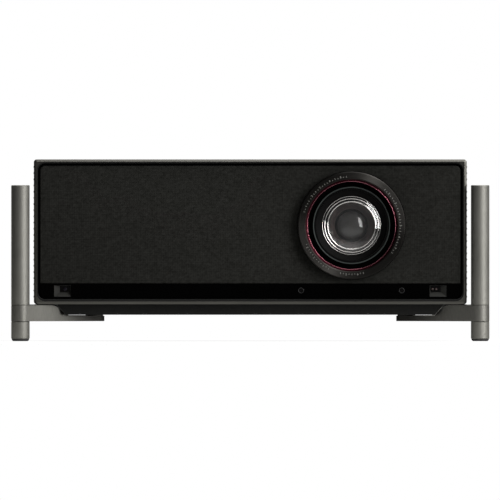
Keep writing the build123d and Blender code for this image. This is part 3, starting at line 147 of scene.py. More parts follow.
# Under the tray the arm's colour fades to dark grey towards the middle: painted shade where the tray
# shades the arms' plates.
tray_shade_full, tray_shade_clear = 0.142, 0.180
tree = cast.node_tree
where = add_node(tree, "ShaderNodeTexCoord")
parts = add_node(tree, "ShaderNodeSeparateXYZ", {"Vector": where.outputs["Object"]})
off_middle = add_node(tree, "ShaderNodeMath", {0: parts.outputs["X"]}, operation="ABSOLUTE")
tray_shade_fade = add_node(tree, "ShaderNodeMapRange",
                    {"Value": off_middle.outputs["Value"], "From Min": tray_shade_full,
                     "From Max": tray_shade_clear})
shader = tree.nodes["Principled BSDF"]
# Painted shade: dark grey mixed in where the plates run under the tray.
painted_tray_shade = add_node(tree, "ShaderNodeMix",
                {0: tray_shade_fade.outputs["Result"], 6: linear("#343331"),
                 7: shader.inputs["Base Color"].links[0].from_socket}, data_type="RGBA")
tree.links.new(painted_tray_shade.outputs[2], shader.inputs["Base Color"])
dress(drawn, "posts", *[f"{leg}_foot" for leg in legs])
dress(cast, *[f"{leg}_arm" for leg in legs])

# Foot pads: a chamfered disc of black rubber pressed on the pin under each foot.
# Moulded rubber is matt with a faint dusty bloom.
rubber = grained("rubber_moulded", ("#121211", "#1B1B1A"), (0.70, 0.85), 0.8, 0.01)
dress(rubber, *[f"{leg}_foot_pad" for leg in legs])

# Screws under the arms and the base: countersunk steel screws with a hexagon socket.
# Black oxide leaves the steel dark with a low oily sheen.
oxide = grained("steel_black_oxide", ("#222221", "#2E2E2D"), (0.35, 0.50), 0.6, 0.004, Metallic=1.0)
dress(oxide, "underside_screws")

# Base tray and chassis floor: folded steel, screwed together round the edge.
# Powder coat is matt black with a fine orange peel.
powder = grained("steel_powder_coated", ("#0D0D0C", "#131312"), (0.55, 0.68), 1.3, 0.015,
                 **{"Specular IOR Level": 0.12})
dress(powder, "base_tray", "chassis_floor")

# Light engine and laser module: die-cast housings bolted to the chassis floor.
# The castings are blasted and painted thin, so that a fine tooth shows through the black.
casting = grained("alloy_die_cast_painted", ("#1A1A1B", "#262627"), (0.45, 0.60), 0.9, 0.03)
dress(casting, "engine_housing", "laser_module")

# Lens shift plates, heat sink and fin stack: plain aluminium, milled or pressed.
# The cutter leaves fine lines along the work, so the gloss is a little streaked.
milled = grained("aluminium_milled", ("#9C9D9E", "#B4B5B6"), (0.28, 0.42), 0.4, 0.003, (1, 1, 0.06),
                 Metallic=1.0)
dress(milled, "lens_cross_plate", "lens_lift_plate", "chip_heat_sink", "fin_stack")

# Heat pipes: four drawn copper tubes from the laser module to the fin stack.
# Bare copper dulls unevenly to brown along the bends.
pipe_copper = grained("copper_drawn", ("#8C4B2F", "#C98258"), (0.22, 0.42), 1.5, 0.003, Metallic=1.0)
dress(pipe_copper, "heat_pipes")

# Motors and lead screws: steel cans and ground steel screws, plated with zinc and bolted to the plates.
# Zinc plate is a bluish grey with a soft mottle.
zinc = grained("steel_zinc_plated", ("#85888C", "#A2A5A8"), (0.25, 0.40), 1.2, 0.003, Metallic=1.0)
dress(zinc, "lens_motors", "lift_motor", "cross_screw", "lift_screw")

# Focus and zoom rings and their pinions: moulded gears that run dry on the barrel.
# Acetal is an off-white, slightly waxy plastic.
acetal = grained("acetal_moulded", ("#CFCBC0", "#DAD7CD"), (0.32, 0.42), 1.0, 0.003,
                 **{"Subsurface Weight": 0.1, "Subsurface Scale": 0.001})
dress(acetal, "focus_ring", "focus_pinion", "zoom_ring", "zoom_pinion")

# Boards: main board, chip board and power supply, glass-fibre boards screwed on their standoffs.
# Solder mask is a glossy green, lighter where it runs over the copper tracks.
track_wide, track_pitch, track_run, track_step = 0.3, 2.5, 12.0, 0.03
mask = new_material("circuit_board_solder_mask")
tree = mask.node_tree
where = add_node(tree, "ShaderNodeTexCoord")
tracks = add_node(tree, "ShaderNodeTexBrick",
                  {"Vector": where.outputs["Object"], "Scale": 1.0, "Color1": linear("#0C3B24"),
                   "Color2": linear("#0E4429"), "Mortar": linear("#1C5C39"),
                   "Mortar Size": track_wide / 1000, "Brick Width": track_run / 1000,
                   "Row Height": track_pitch / 1000})
ripple = add_node(tree, "ShaderNodeBump",
                  {"Height": tracks.outputs["Fac"], "Distance": track_step / 1000, "Strength": 1.0})
shader = add_node(tree, "ShaderNodeBsdfPrincipled",
                  {"Base Color": tracks.outputs["Color"], "Normal": ripple.outputs["Normal"],
                   "Roughness": 0.3})
add_node(tree, "ShaderNodeOutputMaterial", {"Surface": shader.outputs["BSDF"]})
dress(mask, "main_board", "chip_board", "power_supply")

# Fans, speaker boxes and grille frame: black mouldings screwed in behind the vents and the cloth.
# Glass-filled plastic is matt with a fine spark-eroded texture.
filled = grained("polyester_glass_filled_moulded", ("#121212", "#1B1B1B"), (0.50, 0.65), 0.7, 0.012)
dress(filled, "intake_fan_frame", "intake_fan_rotor", "exhaust_fan_frame", "exhaust_fan_rotor",
      "speaker_boxes", "grille_frame")

# Speaker drivers: paper cones in pressed baskets, screwed to the boxes behind the cloth.
# Pressed paper is soft grey with visible fibres.
paper = grained("paper_pressed", ("#2B2A28", "#403E3B"), (0.75, 0.90), 0.5, 0.03, (1, 1, 0.2))
dress(paper, "speaker_drivers")

# Top cover: a steel sheet folded over the chassis and screwed down inside.
# Textured paint is a dark graphite with a fine, dry tooth.
textured = grained("steel_textured_paint", ("#20201E", "#292927"), (0.62, 0.66), 0.9, 0.012,
                   **{"Specular IOR Level": 0.2})
dress(textured, "top_cover")

# Side panels: ribbed black mouldings clipped between the floor and the top, with slots for the fans.
# The mould is etched, which gives a leathery matt grain.
etched = grained("abs_etched_moulded", ("#151514", "#1D1D1C"), (0.48, 0.60), 0.8, 0.02,
                 **{"Specular IOR Level": 0.07})
dress(etched, "left_side_panel", "right_side_panel")

# Rear panel: a black plate with slots and socket cut-outs, screwed to the chassis.
# It is moulded in the same etched plastic as the side panels.
dress(etched, "rear_panel")


# Rear sockets: nickel-plated steel shells soldered on the main board, each with a plastic tongue.
# The tongues stand inside the shells, and the contacts are thin strips on them.
def piece(mesh, name, body, material, smooth_below=None):
    """Turn a bmesh into an object that rides on a body and takes the finish it is given."""
    data = bpy.data.meshes.new(name)
    mesh.to_mesh(data)
    mesh.free()
    if smooth_below is not None:
        data.shade_smooth()
        data.set_sharp_from_angle(angle=math.radians(smooth_below))
    data.materials.append(material)
    item = bpy.data.objects.new(name, data)
    scene.collection.objects.link(item)
    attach(item, body)
    return item


def add_block(mesh, low, high, edge):
    """Add a box with rounded edges between two corners given in millimetres."""
    size = [(b - a) / 1000 for a, b in zip(low, high)]
    middle = [(a + b) / 2000 for a, b in zip(low, high)]
    made = bmesh.ops.create_cube(mesh, size=1.0)
    bmesh.ops.scale(mesh, vec=size, verts=made["verts"])
    bmesh.ops.translate(mesh, vec=middle, verts=made["verts"])
    edges = list({e for v in made["verts"] for e in v.link_edges})
    bmesh.ops.bevel(mesh, geom=edges, offset=edge / 1000, affect="EDGES", segments=2, profile=0.5,
                    material=-1)


# Nickel plate is bright and slightly warm.
nickel = grained("steel_nickel_plated", ("#A8A49B", "#BDB9B0"), (0.18, 0.30), 1.0, 0.002, Metallic=1.0)
dress(nickel, "rear_sockets")
# Contact strips are flashed with gold and shine yellow.
flash = grained("copper_alloy_gold_flashed", ("#C79A45", "#D9B060"), (0.20, 0.32), 0.6, 0.002,
                Metallic=1.0)
# Moulded nylon is a dark bluish grey with a soft gloss.
tongue_plastic = grained("nylon_moulded", ("#17191C", "#202226"), (0.40, 0.50), 0.6, 0.004)
socket_floor = 54.7
socket_x = [-100 + 27 * k for k in range(6)]
tongues = bmesh.new()
contacts = bmesh.new()


def add_blade(mesh, x, half, depths, heights, edge):
    """Add a flat bar in a socket: its half width, depths, and heights above the socket's floor."""
    add_block(mesh, (x - half, depths[0], socket_floor + heights[0]),
              (x + half, depths[1], socket_floor + heights[1]), edge)


# For each kind of socket: its places, the tongue, the contacts' number, first place and pitch, and a
# contact. A network socket comes first, then two serial ones and three for pictures.
for places, tongue, (count, first, pitch), contact in (
        (socket_x[:1], (4.6, (162.0, 170.5), (6.2, 8.2), 0.2), (8, -3.57, 1.02),
         (0.2, (163.0, 170.0), (5.0, 6.3), 0.1)),
        (socket_x[1:3], (5.2, (161.5, 171.5), (3.0, 4.9), 0.2), (4, -3.5, 2.33),
         (0.6, (162.5, 170.8), (2.9, 3.1), 0.05)),
        (socket_x[3:], (5.6, (161.5, 171.0), (2.1, 3.4), 0.2), (9, -4.0, 1.0),
         (0.25, (162.5, 170.3), (3.3, 3.5), 0.05))):
    for x in places:
        add_blade(tongues, x, *tongue)
        for k in range(count):
            add_blade(contacts, x + first + pitch * k, *contact)
piece(tongues, "socket_tongues", "casing", tongue_plastic, 40)
piece(contacts, "socket_contacts", "casing", flash, 40)

# Mains inlet: a moulded socket clipped into the rear panel, with three plated pins.
# Each pin gets a thin plated sleeve with a rounded tip.
dress(filled, "mains_inlet")
inlet_x, inlet_z = 120.0, 62.0
pin_pitch, pin_rise, pin_half_wide, pin_half_tall = 7.0, 2.0, 1.05, 2.05
pin_root, pin_tip = 151.2, 161.2
pins = bmesh.new()
for k in (-1, 0, 1):
    x = inlet_x + pin_pitch * k
    z = inlet_z + (-pin_rise if k else pin_rise)
    add_block(pins, (x - pin_half_wide, pin_root, z - pin_half_tall),
              (x + pin_half_wide, pin_tip, z + pin_half_tall), 0.4)
piece(pins, "inlet_pins", "casing", nickel, 40)

# Power button: a round plunger beside the inlet, with the common on/off sign printed on its face.
# The plunger is moulded and polished, so it has a clear gloss.
button_plastic = grained("abs_polished_moulded", ("#171717", "#1C1C1C"), (0.22, 0.30), 0.8, 0.003)
dress(button_plastic, "power_button")
# Pad-printed ink is a matt light grey and stands hardly proud of the plastic.
ink = grained("ink_pad_printed", ("#A6A6A2", "#B9B9B5"), (0.55, 0.65), 0.5, 0.003)
button_x, button_z = 0.160, 0.062
sign_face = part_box("power_button")[1].y + 0.00003
sign_inner, sign_outer, sign_sweep = 0.0021, 0.0026, 280
stroke_wide, stroke_tall, stroke_rise = 0.0005, 0.0024, 0.0018
sign = bmesh.new()
arc = [sign.verts.new((button_x + r, sign_face, button_z)) for r in (sign_inner, sign_outer)]
bmesh.ops.spin(sign, geom=[sign.edges.new(arc)], cent=(button_x, 0, button_z), axis=(0, 1, 0),
               angle=math.radians(sign_sweep), steps=28, use_merge=False)
bmesh.ops.rotate(sign, verts=sign.verts, cent=(button_x, 0, button_z),
                 matrix=Matrix.Rotation(math.radians(90 - sign_sweep / 2), 3, "Y"))
stroke = bmesh.ops.create_grid(sign, x_segments=1, y_segments=1, size=0.5)["verts"]
bmesh.ops.rotate(sign, verts=stroke, cent=(0, 0, 0), matrix=Matrix.Rotation(math.pi / 2, 3, "X"))
bmesh.ops.scale(sign, vec=(stroke_wide, 1, stroke_tall), verts=stroke)
bmesh.ops.translate(sign, vec=(button_x, sign_face, button_z + stroke_rise), verts=stroke)
bmesh.ops.recalc_face_normals(sign, faces=sign.faces)
piece(sign, "button_sign", "power_button", ink)

# Front bezel: the thin aluminium rim round the front, milled with a bevelled edge and clipped on.
# Satin anodising keeps a metal glint under a dark, smooth surface.
satin = grained("anodised_aluminium_satin", ("#4B4A46", "#53524E"), (0.29, 0.35), 0.5, 0.002,
                Metallic=1.0)
# The cutter leaves the bevel slightly crowned, so that it mirrors light from further forward.
bevel_back, bevel_blend, bevel_lean = -0.165, 0.0002, 0.5
tree = satin.node_tree
where = add_node(tree, "ShaderNodeTexCoord")
parts = add_node(tree, "ShaderNodeSeparateXYZ", {"Vector": where.outputs["Object"]})
crown = add_node(tree, "ShaderNodeMapRange",
                 {"Value": parts.outputs["Y"], "From Min": bevel_back - bevel_blend,
                  "From Max": bevel_back + bevel_blend, "To Min": 1.0, "To Max": 0.0})
forward = add_node(tree, "ShaderNodeVectorMath",
                   {0: (0, -bevel_lean, 0), "Scale": crown.outputs["Result"]}, operation="SCALE")
shape = add_node(tree, "ShaderNodeNewGeometry")
leaning = add_node(tree, "ShaderNodeVectorMath",
                   {0: shape.outputs["Normal"], 1: forward.outputs["Vector"]}, operation="ADD")
crowned = add_node(tree, "ShaderNodeVectorMath", {0: leaning.outputs["Vector"]}, operation="NORMALIZE")
tree.links.new(crowned.outputs["Vector"], tree.nodes["Bump"].inputs["Normal"])
dress(satin, "front_bezel")

# Arm seals: strips of black rubber between the top of each arm and the underside of the case.
# Each fills the wedge between the arm's rounded step and the sloped side of the tray.
seal_outline = ((194.4, 33.05), (174.4, 33.05), (171.8, 30.05), (172.65, 30.1), (174.1, 30.95),
                (176.0, 31.75), (178.0, 32.2), (179.6, 32.26), (194.4, 32.26))
seal_depths = ((-150.6, -146.6), (143.8, 147.6))
seals = bmesh.new()
for side in (-1, 1):
    for near, far in seal_depths:
        end = [seals.verts.new((side * x / 1000, near / 1000, z / 1000)) for x, z in seal_outline]
        grown = bmesh.ops.extrude_face_region(seals, geom=[seals.faces.new(end)])
        bmesh.ops.translate(seals, vec=(0, (far - near) / 1000, 0),
                            verts=[g for g in grown["geom"] if isinstance(g, bmesh.types.BMVert)])
bmesh.ops.recalc_face_normals(seals, faces=seals.faces)
piece(seals, "arm_seals", "casing", rubber)

# Rim lip and gap sheet: a rubber edging clipped on the inner edge of the rim, and behind it a near-black
# foam sheet over the flange. The sheet is painted shade: it makes the gap round the cloth look black.
foam = grained("polyurethane_foam_cut", ("#030303", "#060606"), (0.85, 0.95), 0.6, 0.05,
               **{"Specular IOR Level": 0.03})
# Extruded rubber is smooth but dull, a shade lighter than the foam.
edging = grained("rubber_extruded", ("#0B0B0A", "#10100F"), (0.60, 0.70), 0.8, 0.0,
                 **{"Specular IOR Level": 0.1})
opening_x, opening_low, opening_high, opening_r = 191.1, 37.7, 159.8, 6.4
corner_steps = 8


def add_strip(mesh, section, drop=0):
    """Run a strip round the opening; its section is (outwards, depth) points in millimetres.

    Along the bottom its outermost edge lies lower by the drop.
    """
    upper, lower = opening_high - opening_r, opening_low + opening_r
    outermost = max(out for out, y in section)
    loops = []
    for out, y in section:
        loop = []
        for k, (side, middle) in enumerate(((1, upper), (-1, upper), (-1, lower), (1, lower))):
            sunk = drop if middle == lower and out == outermost else 0
            for step in range(corner_steps + 1):
                angle = math.radians(90 * (k + step / corner_steps))
                x = side * (opening_x - opening_r) + (opening_r + out) * math.cos(angle)
                z = middle + (opening_r + out) * math.sin(angle) - sunk
                loop.append(mesh.verts.new((x / 1000, y / 1000, z / 1000)))
        loops.append(loop)
    for near, far in zip(loops, loops[1:] + loops[:1]):
        for k in range(len(near)):
            mesh.faces.new((near[k], near[k - 1], far[k - 1], far[k]))
    bmesh.ops.recalc_face_normals(mesh, faces=mesh.faces)


lip_section = ((1.02, -167.02), (0.6, -167.05), (0.2, -166.85), (-0.1, -166.2), (-0.1, -164.5),
               (-0.02, -164.5), (-0.02, -166.1), (0.25, -166.72))
lip = bmesh.new()
add_strip(lip, lip_section, drop=0.9)
piece(lip, "rim_lip", "casing", edging, 40)
# Painted shade: a near-black sheet in the gap round the cloth.
gap_shade_section = ((-0.02, -164.4), (-0.02, -160.0), (-3.4, -160.0), (-3.4, -160.2), (-0.22, -160.2),
                  (-0.22, -164.4))
gap_shade_sheet = bmesh.new()
add_strip(gap_shade_sheet, gap_shade_section)
piece(gap_shade_sheet, "rim_gap_shade", "casing", foam, 40)

# Fan filters: a sheet of the same foam clipped behind the slots of the left side panel, and another
# on the inner side of the exhaust fan. They stop dust.
for name, low, high in (("intake_filter", (-191.5, -146.0, 37.5), (-190.9, 160.0, 158.0)),
                        ("exhaust_filter", (164.9, 35.0, 36.3), (165.6, 155.0, 156.0))):
    dust_filter = bmesh.new()
    add_block(dust_filter, low, high, 0.1)
    piece(dust_filter, name, "casing", foam, 40)

# Grille cloth: black woven cloth stretched over the grille frame and turned in at its edges.
# It is cut out round the lens ring and ends at the gloss bar; the frame stands just behind it.
cloth_low = (-188.95, 51.9)
cloth_high = (188.95, 157.65)
cloth_face, cloth_thick = -165.5, 0.8
cloth_corner, cloth_fold = 4.25, 0.5
lens_x, lens_z = 91.0, 104.0
cloth_hole = 48.7
cloth_mesh = bmesh.new()
outline = []
for x, z in ((cloth_low[0], cloth_low[1]), (cloth_high[0], cloth_low[1]),
             (cloth_high[0], cloth_high[1]), (cloth_low[0], cloth_high[1])):
    outline.append(cloth_mesh.verts.new((x / 1000, cloth_face / 1000, z / 1000)))
for k in range(4):
    cloth_mesh.edges.new((outline[k], outline[(k + 1) % 4]))
bmesh.ops.bevel(cloth_mesh, geom=outline[2:], offset=cloth_corner / 1000, affect="VERTICES",
                segments=6, profile=0.5, material=-1)
hole = bmesh.ops.create_circle(cloth_mesh, cap_ends=False, radius=cloth_hole / 1000, segments=128)
bmesh.ops.rotate(cloth_mesh, verts=hole["verts"], cent=(0, 0, 0),
                 matrix=Matrix.Rotation(math.pi / 2, 3, "X"))
bmesh.ops.translate(cloth_mesh, verts=hole["verts"],
                    vec=(lens_x / 1000, cloth_face / 1000, lens_z / 1000))
bmesh.ops.triangle_fill(cloth_mesh, edges=cloth_mesh.edges, use_beauty=True, normal=(0, -1, 0))
bmesh.ops.recalc_face_normals(cloth_mesh, faces=cloth_mesh.faces)
for face in cloth_mesh.faces:
    if face.normal.y > 0:
        face.normal_flip()
border = [e for e in cloth_mesh.edges if e.is_boundary]
turned = bmesh.ops.extrude_edge_only(cloth_mesh, edges=border)
turned_verts = [g for g in turned["geom"] if isinstance(g, bmesh.types.BMVert)]
bmesh.ops.translate(cloth_mesh, verts=turned_verts, vec=(0, cloth_thick / 1000, 0))
bmesh.ops.bevel(cloth_mesh, geom=border, offset=cloth_fold / 1000, affect="EDGES", segments=3,
                profile=0.5, material=-1)

# Woven polyester: plain weave of dull threads. Threads are 0.4 mm apart; they are drawn 1.6 mm apart
# here, so that the weave still shows as a faint texture at this distance.
thread, weave_deep = 1.6, 0.12
woven = new_material("polyester_plain_weave")
tree = woven.node_tree
where = add_node(tree, "ShaderNodeTexCoord")
warp, weft = [add_node(tree, "ShaderNodeTexWave",
                       {"Vector": where.outputs["Object"], "Scale": 100 * math.pi / thread,
                        "Distortion": 0.0},
                       wave_type="BANDS", bands_direction=across, wave_profile="SIN")
              for across in ("X", "Z")]
over = add_node(tree, "ShaderNodeTexChecker",
                {"Vector": where.outputs["Object"], "Scale": 1000 / thread})
height = add_node(tree, "ShaderNodeMix",
                  {0: over.outputs["Fac"], 2: warp.outputs["Fac"], 3: weft.outputs["Fac"]},
                  data_type="FLOAT")
yarns = []
for stretch in ((0.45, 1, 1), (1, 1, 0.75)):
    laid = add_node(tree, "ShaderNodeMapping", {"Vector": where.outputs["Object"], "Scale": stretch})
    yarns.append(add_node(tree, "ShaderNodeTexNoise",
                          {"Vector": laid.outputs["Vector"], "Scale": 1000 / thread, "Detail": 2.0}))
yarn = add_node(tree, "ShaderNodeMath", {0: yarns[0].outputs["Fac"], 1: yarns[1].outputs["Fac"]},
                operation="ADD")
uneven = add_node(tree, "ShaderNodeMapRange",
                  {"Value": yarn.outputs["Value"], "From Min": 0.7, "From Max": 1.3})
level = add_node(tree, "ShaderNodeMix",
                 {0: 0.75, 2: height.outputs[0], 3: uneven.outputs["Result"]}, data_type="FLOAT")
tone = add_node(tree, "ShaderNodeMix",
                {0: level.outputs[0], 6: linear("#11110F"), 7: linear("#20201E")}, data_type="RGBA")
bump = add_node(tree, "ShaderNodeBump",
                {"Height": height.outputs[0], "Distance": weave_deep / 1000, "Strength": 0.6})
shader = add_node(tree, "ShaderNodeBsdfPrincipled",
                  {"Base Color": tone.outputs[2], "Normal": bump.outputs["Normal"], "Roughness": 0.85,
                   "Specular IOR Level": 0.03, "Sheen Weight": 0.02, "Sheen Roughness": 0.5})
add_node(tree, "ShaderNodeOutputMaterial", {"Surface": shader.outputs["BSDF"]})
cloth = piece(cloth_mesh, "grille_cloth_woven", "casing", woven, 60)
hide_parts("grille_cloth")

# Sensor bar: a polished black acrylic strip under the cloth, with two bevelled camera recesses.
# Coated acrylic is deep black with hardly any haze; the recesses are left frosted and look greyer.
bar_face = -165.2
frost_start, frost_full, frost_grit = 0.1, 0.3, 0.6
acrylic = new_material("acrylic_polished_coated")
tree = acrylic.node_tree
where = add_node(tree, "ShaderNodeTexCoord")
parts = add_node(tree, "ShaderNodeSeparateXYZ", {"Vector": where.outputs["Object"]})
depth = add_node(tree, "ShaderNodeMapRange",
                 {"Value": parts.outputs["Y"], "From Min": (bar_face + frost_start) / 1000,
                  "From Max": (bar_face + frost_full) / 1000})
frost = add_node(tree, "ShaderNodeTexNoise",
                 {"Vector": where.outputs["Object"], "Scale": 1000 / frost_grit, "Detail": 2.0})
matt = add_node(tree, "ShaderNodeMix",
                {0: frost.outputs["Fac"], 6: linear("#20201F"), 7: linear("#2A2A28")}, data_type="RGBA")
tone = add_node(tree, "ShaderNodeMix",
                {0: depth.outputs["Result"], 6: linear("#010101"), 7: matt.outputs[2]}, data_type="RGBA")
rough = add_node(tree, "ShaderNodeMapRange",
                 {"Value": depth.outputs["Result"], "To Min": 0.05, "To Max": 0.5})
shader = add_node(tree, "ShaderNodeBsdfPrincipled",
                  {"Base Color": tone.outputs[2], "Roughness": rough.outputs["Result"],
                   "Specular IOR Level": 0.03})
add_node(tree, "ShaderNodeOutputMaterial", {"Surface": shader.outputs["BSDF"]})
dress(acrylic, "sensor_bar")

# Front sensors: camera and receiver modules clipped behind the bar, moulded in black polycarbonate
# that only lets infrared through. It looks black, with a faint gloss.
infrared = grained("polycarbonate_infrared_black", ("#030303", "#060505"), (0.12, 0.18), 1.0, 0.0,
                   **{"Specular IOR Level": 0.15})
dress(infrared, "front_sensors")

# Sensor eyes: a small domed glass lens on the left module and two tinted plastic lenses on the right.
# Each is pressed on the module's nose.
eye_front, eye_z = -162.7, 46.7


def add_eye(mesh, x, rim, bulge):
    """Add a small dome on the front of a sensor module."""
    made = bmesh.ops.create_uvsphere(mesh, u_segments=32, v_segments=16, radius=1.0)
    bmesh.ops.scale(mesh, vec=(rim / 1000, bulge / 1000, rim / 1000), verts=made["verts"])
    bmesh.ops.translate(mesh, vec=(x / 1000, eye_front / 1000, eye_z / 1000), verts=made["verts"])


# Coated glass is nearly black, with a cold violet cast.
camera_glass = grained("optical_glass_violet_coated", ("#0A090D", "#121017"), (0.03, 0.06), 0.8, 0.0,
                       **{"Specular IOR Level": 0.08})
# The tinted lenses look brownish grey and a little lighter than the module.
lens_red = grained("polycarbonate_tinted_red", ("#2A2221", "#352A27"), (0.10, 0.16), 0.5, 0.0,
                   **{"Specular IOR Level": 0.15})
camera_eye = bmesh.new()
add_eye(camera_eye, -166.6, 1.6, 0.5)
piece(camera_eye, "camera_eye", "casing", camera_glass, 40)
twin_eyes = bmesh.new()
for x in (163.85, 167.15):
    add_eye(twin_eyes, x, 1.0, 0.4)
piece(twin_eyes, "twin_eyes", "casing", lens_red, 40)


# Receiver rims: a thin rim round each of the two round windows in the bar.
# They are moulded in grey polycarbonate and snapped in from the front.
def turn(mesh, profile, about, closed=True):
    """Spin a profile of (radius, depth) points in millimetres round an axis along the depth."""
    points = [mesh.verts.new((about.x + r / 1000, y / 1000, about.z)) for r, y in profile]
    edges = [mesh.edges.new(pair) for pair in zip(points, points[1:])]
    if closed:
        edges.append(mesh.edges.new((points[-1], points[0])))
    bmesh.ops.spin(mesh, geom=points + edges, cent=about, axis=(0, 1, 0), angle=2 * math.pi,
                   steps=160, use_merge=True)
    bmesh.ops.remove_doubles(mesh, verts=mesh.verts, dist=1e-7)
    bmesh.ops.recalc_face_normals(mesh, faces=mesh.faces)


def add_bead(mesh, radius, depth, thick, about):
    """Add a round bead of a given thickness on a circle about an axis along the depth."""
    angles = [math.radians(a) for a in range(0, 360, 30)]
    turn(mesh, [(radius + thick / 2 * math.cos(a), depth + thick / 2 * math.sin(a)) for a in angles],
         about)


# Moulded polycarbonate is a dark grey with a low gloss, so the rims stand out faintly from the bar.
rim_plastic = grained("polycarbonate_moulded", ("#1B1B1B", "#242424"), (0.25, 0.35), 0.5, 0.0,
                      **{"Specular IOR Level": 0.2})
rims = bmesh.new()
for x in (0.04575, 0.13625):
    add_bead(rims, 2.3, bar_face, 0.4, Vector((x, 0, 0.0455)))
piece(rims, "receiver_rims", "casing", rim_plastic, 50)

# Lens trim ring: a wide ring turned from aluminium and pressed into the grille frame.
# The lathe leaves circular lines on its face, so that highlights fan out from the middle; the lines'
# facets face straight forward, though the face slopes.
lens_axis = Vector((lens_x / 1000, 0, lens_z / 1000))
line_wide, line_deep, facet_lean = 0.35, 0.006, 0.15
spun = new_material("anodised_aluminium_spun")
tree = spun.node_tree
where = add_node(tree, "ShaderNodeTexCoord")
centred = add_node(tree, "ShaderNodeVectorMath",
                   {0: where.outputs["Object"], 1: tuple(lens_axis)}, operation="SUBTRACT")
parts = add_node(tree, "ShaderNodeSeparateXYZ", {"Vector": centred.outputs["Vector"]})
flat = add_node(tree, "ShaderNodeCombineXYZ", {"X": parts.outputs["X"], "Z": parts.outputs["Z"]})
reach = add_node(tree, "ShaderNodeVectorMath", {0: flat.outputs["Vector"]}, operation="LENGTH")
lines = add_node(tree, "ShaderNodeTexNoise",
                 {"W": reach.outputs["Value"], "Scale": 1000 / line_wide, "Detail": 2.0},
                 noise_dimensions="1D")
outward = add_node(tree, "ShaderNodeVectorMath", {0: flat.outputs["Vector"]}, operation="NORMALIZE")
tone = add_node(tree, "ShaderNodeMix",
                {0: lines.outputs["Fac"], 6: linear("#1E1D1C"), 7: linear("#282725")}, data_type="RGBA")
shape = add_node(tree, "ShaderNodeNewGeometry")
facet = add_node(tree, "ShaderNodeVectorMath",
                 {0: outward.outputs["Vector"], 1: (-facet_lean, -facet_lean, -facet_lean),
                  2: shape.outputs["Normal"]}, operation="MULTIPLY_ADD")
upright = add_node(tree, "ShaderNodeVectorMath", {0: facet.outputs["Vector"]}, operation="NORMALIZE")
bump = add_node(tree, "ShaderNodeBump",
                {"Height": lines.outputs["Fac"], "Distance": line_deep / 1000, "Strength": 1.0,
                 "Normal": upright.outputs["Vector"]})
shader = add_node(tree, "ShaderNodeBsdfPrincipled",
                  {"Base Color": tone.outputs[2], "Metallic": 1.0, "Roughness": 0.46,
                   "Anisotropic": 0.95, "Tangent": outward.outputs["Vector"],
                   "Normal": bump.outputs["Normal"]})
add_node(tree, "ShaderNodeOutputMaterial", {"Surface": shader.outputs["BSDF"]})
dress(spun, "lens_trim_ring")

# Ring scale: ticks and plain numbers screen-printed on the sloping face of the trim ring.
# The ink is matt grey and lies a few hundredths of a millimetre proud of the metal.
scale_ink = grained("ink_screen_printed", ("#6B6B66", "#7C7C77"), (0.55, 0.65), 0.5, 0.0)
face_inner, face_front, face_outer, face_back = 42.25, -175.0, 47.5, -174.1
face_tilt = math.atan2(face_back - face_front, face_outer - face_inner)
scale_circle, scale_step, ink_proud = 43.3, 3.4, 0.03
tick_wide, tick_long, tick_short = 0.32, 1.5, 1.0
number_tall, number_lift = 1.8, 0.9
marks = bmesh.new()


def place_mark(verts, radius, angle):
    """Put a mark drawn flat about the origin on the ring's face, its top pointing outwards."""
    depth = face_front + (radius - face_inner) * math.tan(face_tilt) - ink_proud
    bmesh.ops.transform(marks, verts=verts, matrix=(
        Matrix.Translation(lens_axis) @ Matrix.Rotation(math.radians(90 - angle), 4, "Y")
        @ Matrix.Translation((0, depth / 1000, radius / 1000))
        @ Matrix.Rotation(math.pi / 2 - face_tilt, 4, "X")))


def add_tick(angle, tall):
    """Add one tick; its inner end stands on the scale's circle."""
    made = bmesh.ops.create_grid(marks, x_segments=1, y_segments=1, size=0.5)
    bmesh.ops.scale(marks, vec=(tick_wide / 1000, tall / 1000, 1), verts=made["verts"])
    place_mark(made["verts"], scale_circle + tall / 2, angle)


def add_number(text, angle):
    """Add a plain number; its digits are 0.7 of the letter size."""
    letters = bpy.data.curves.new("number", "FONT")
    letters.body = text
    letters.size = number_tall / 700
    letters.align_x, letters.align_y = "CENTER", "CENTER"
    holder = bpy.data.objects.new("number", letters)
    data = bpy.data.meshes.new_from_object(holder)
    first = len(marks.verts)
    marks.from_mesh(data)
    marks.verts.ensure_lookup_table()
    place_mark(marks.verts[first:], scale_circle + number_lift, angle)
    bpy.data.objects.remove(holder)
    bpy.data.curves.remove(letters)
    bpy.data.meshes.remove(data)


# Four runs of marks, each from one angle to another in degrees, with the run's first number.
for start, stop, first in ((164, 96, 1), (47, -34, 2), (242, 203, 1), (284, 257, 4)):
    count = round((start - stop) / scale_step)
    for k in range(count + 1):
        angle = start + (stop - start) * k / count
        if k % 4 == 2:
            add_number(str(first + k // 4), angle)
        else:
            add_tick(angle, tick_long if k % 4 == 0 else tick_short)
piece(marks, "ring_scale", "casing", scale_ink)

# Accent ring: a turned aluminium ring pressed in inside the trim ring, with a polished bead round it.
# Red anodising is a very dark red on the dull flanks.
red = grained("anodised_aluminium_red", ("#18070A", "#1E090D"), (0.35, 0.45), 0.5, 0.002, Metallic=1.0)
dress(red, "red_accent_ring")
# The polished bead under the same dye is a bright, pinkish red line.
red_polish = grained("anodised_aluminium_red_polished", ("#A2636F", "#AF707C"), (0.12, 0.18), 0.5, 0.0,
                     Metallic=1.0)
bead = bmesh.new()
add_bead(bead, 39.65, -173.6, 0.36, lens_axis)
piece(bead, "accent_bead", "casing", red_polish, 50)

# Lens barrel and front cell: turned aluminium tubes that slide in each other, anodised flat black.
# They send hardly any light back.
flat_black = grained("anodised_aluminium_flat_black", ("#050505", "#080808"), (0.45, 0.55), 0.5, 0.004,
                     **{"Specular IOR Level": 0.03})
dress(flat_black, "lens_barrel", "front_lens_cell")
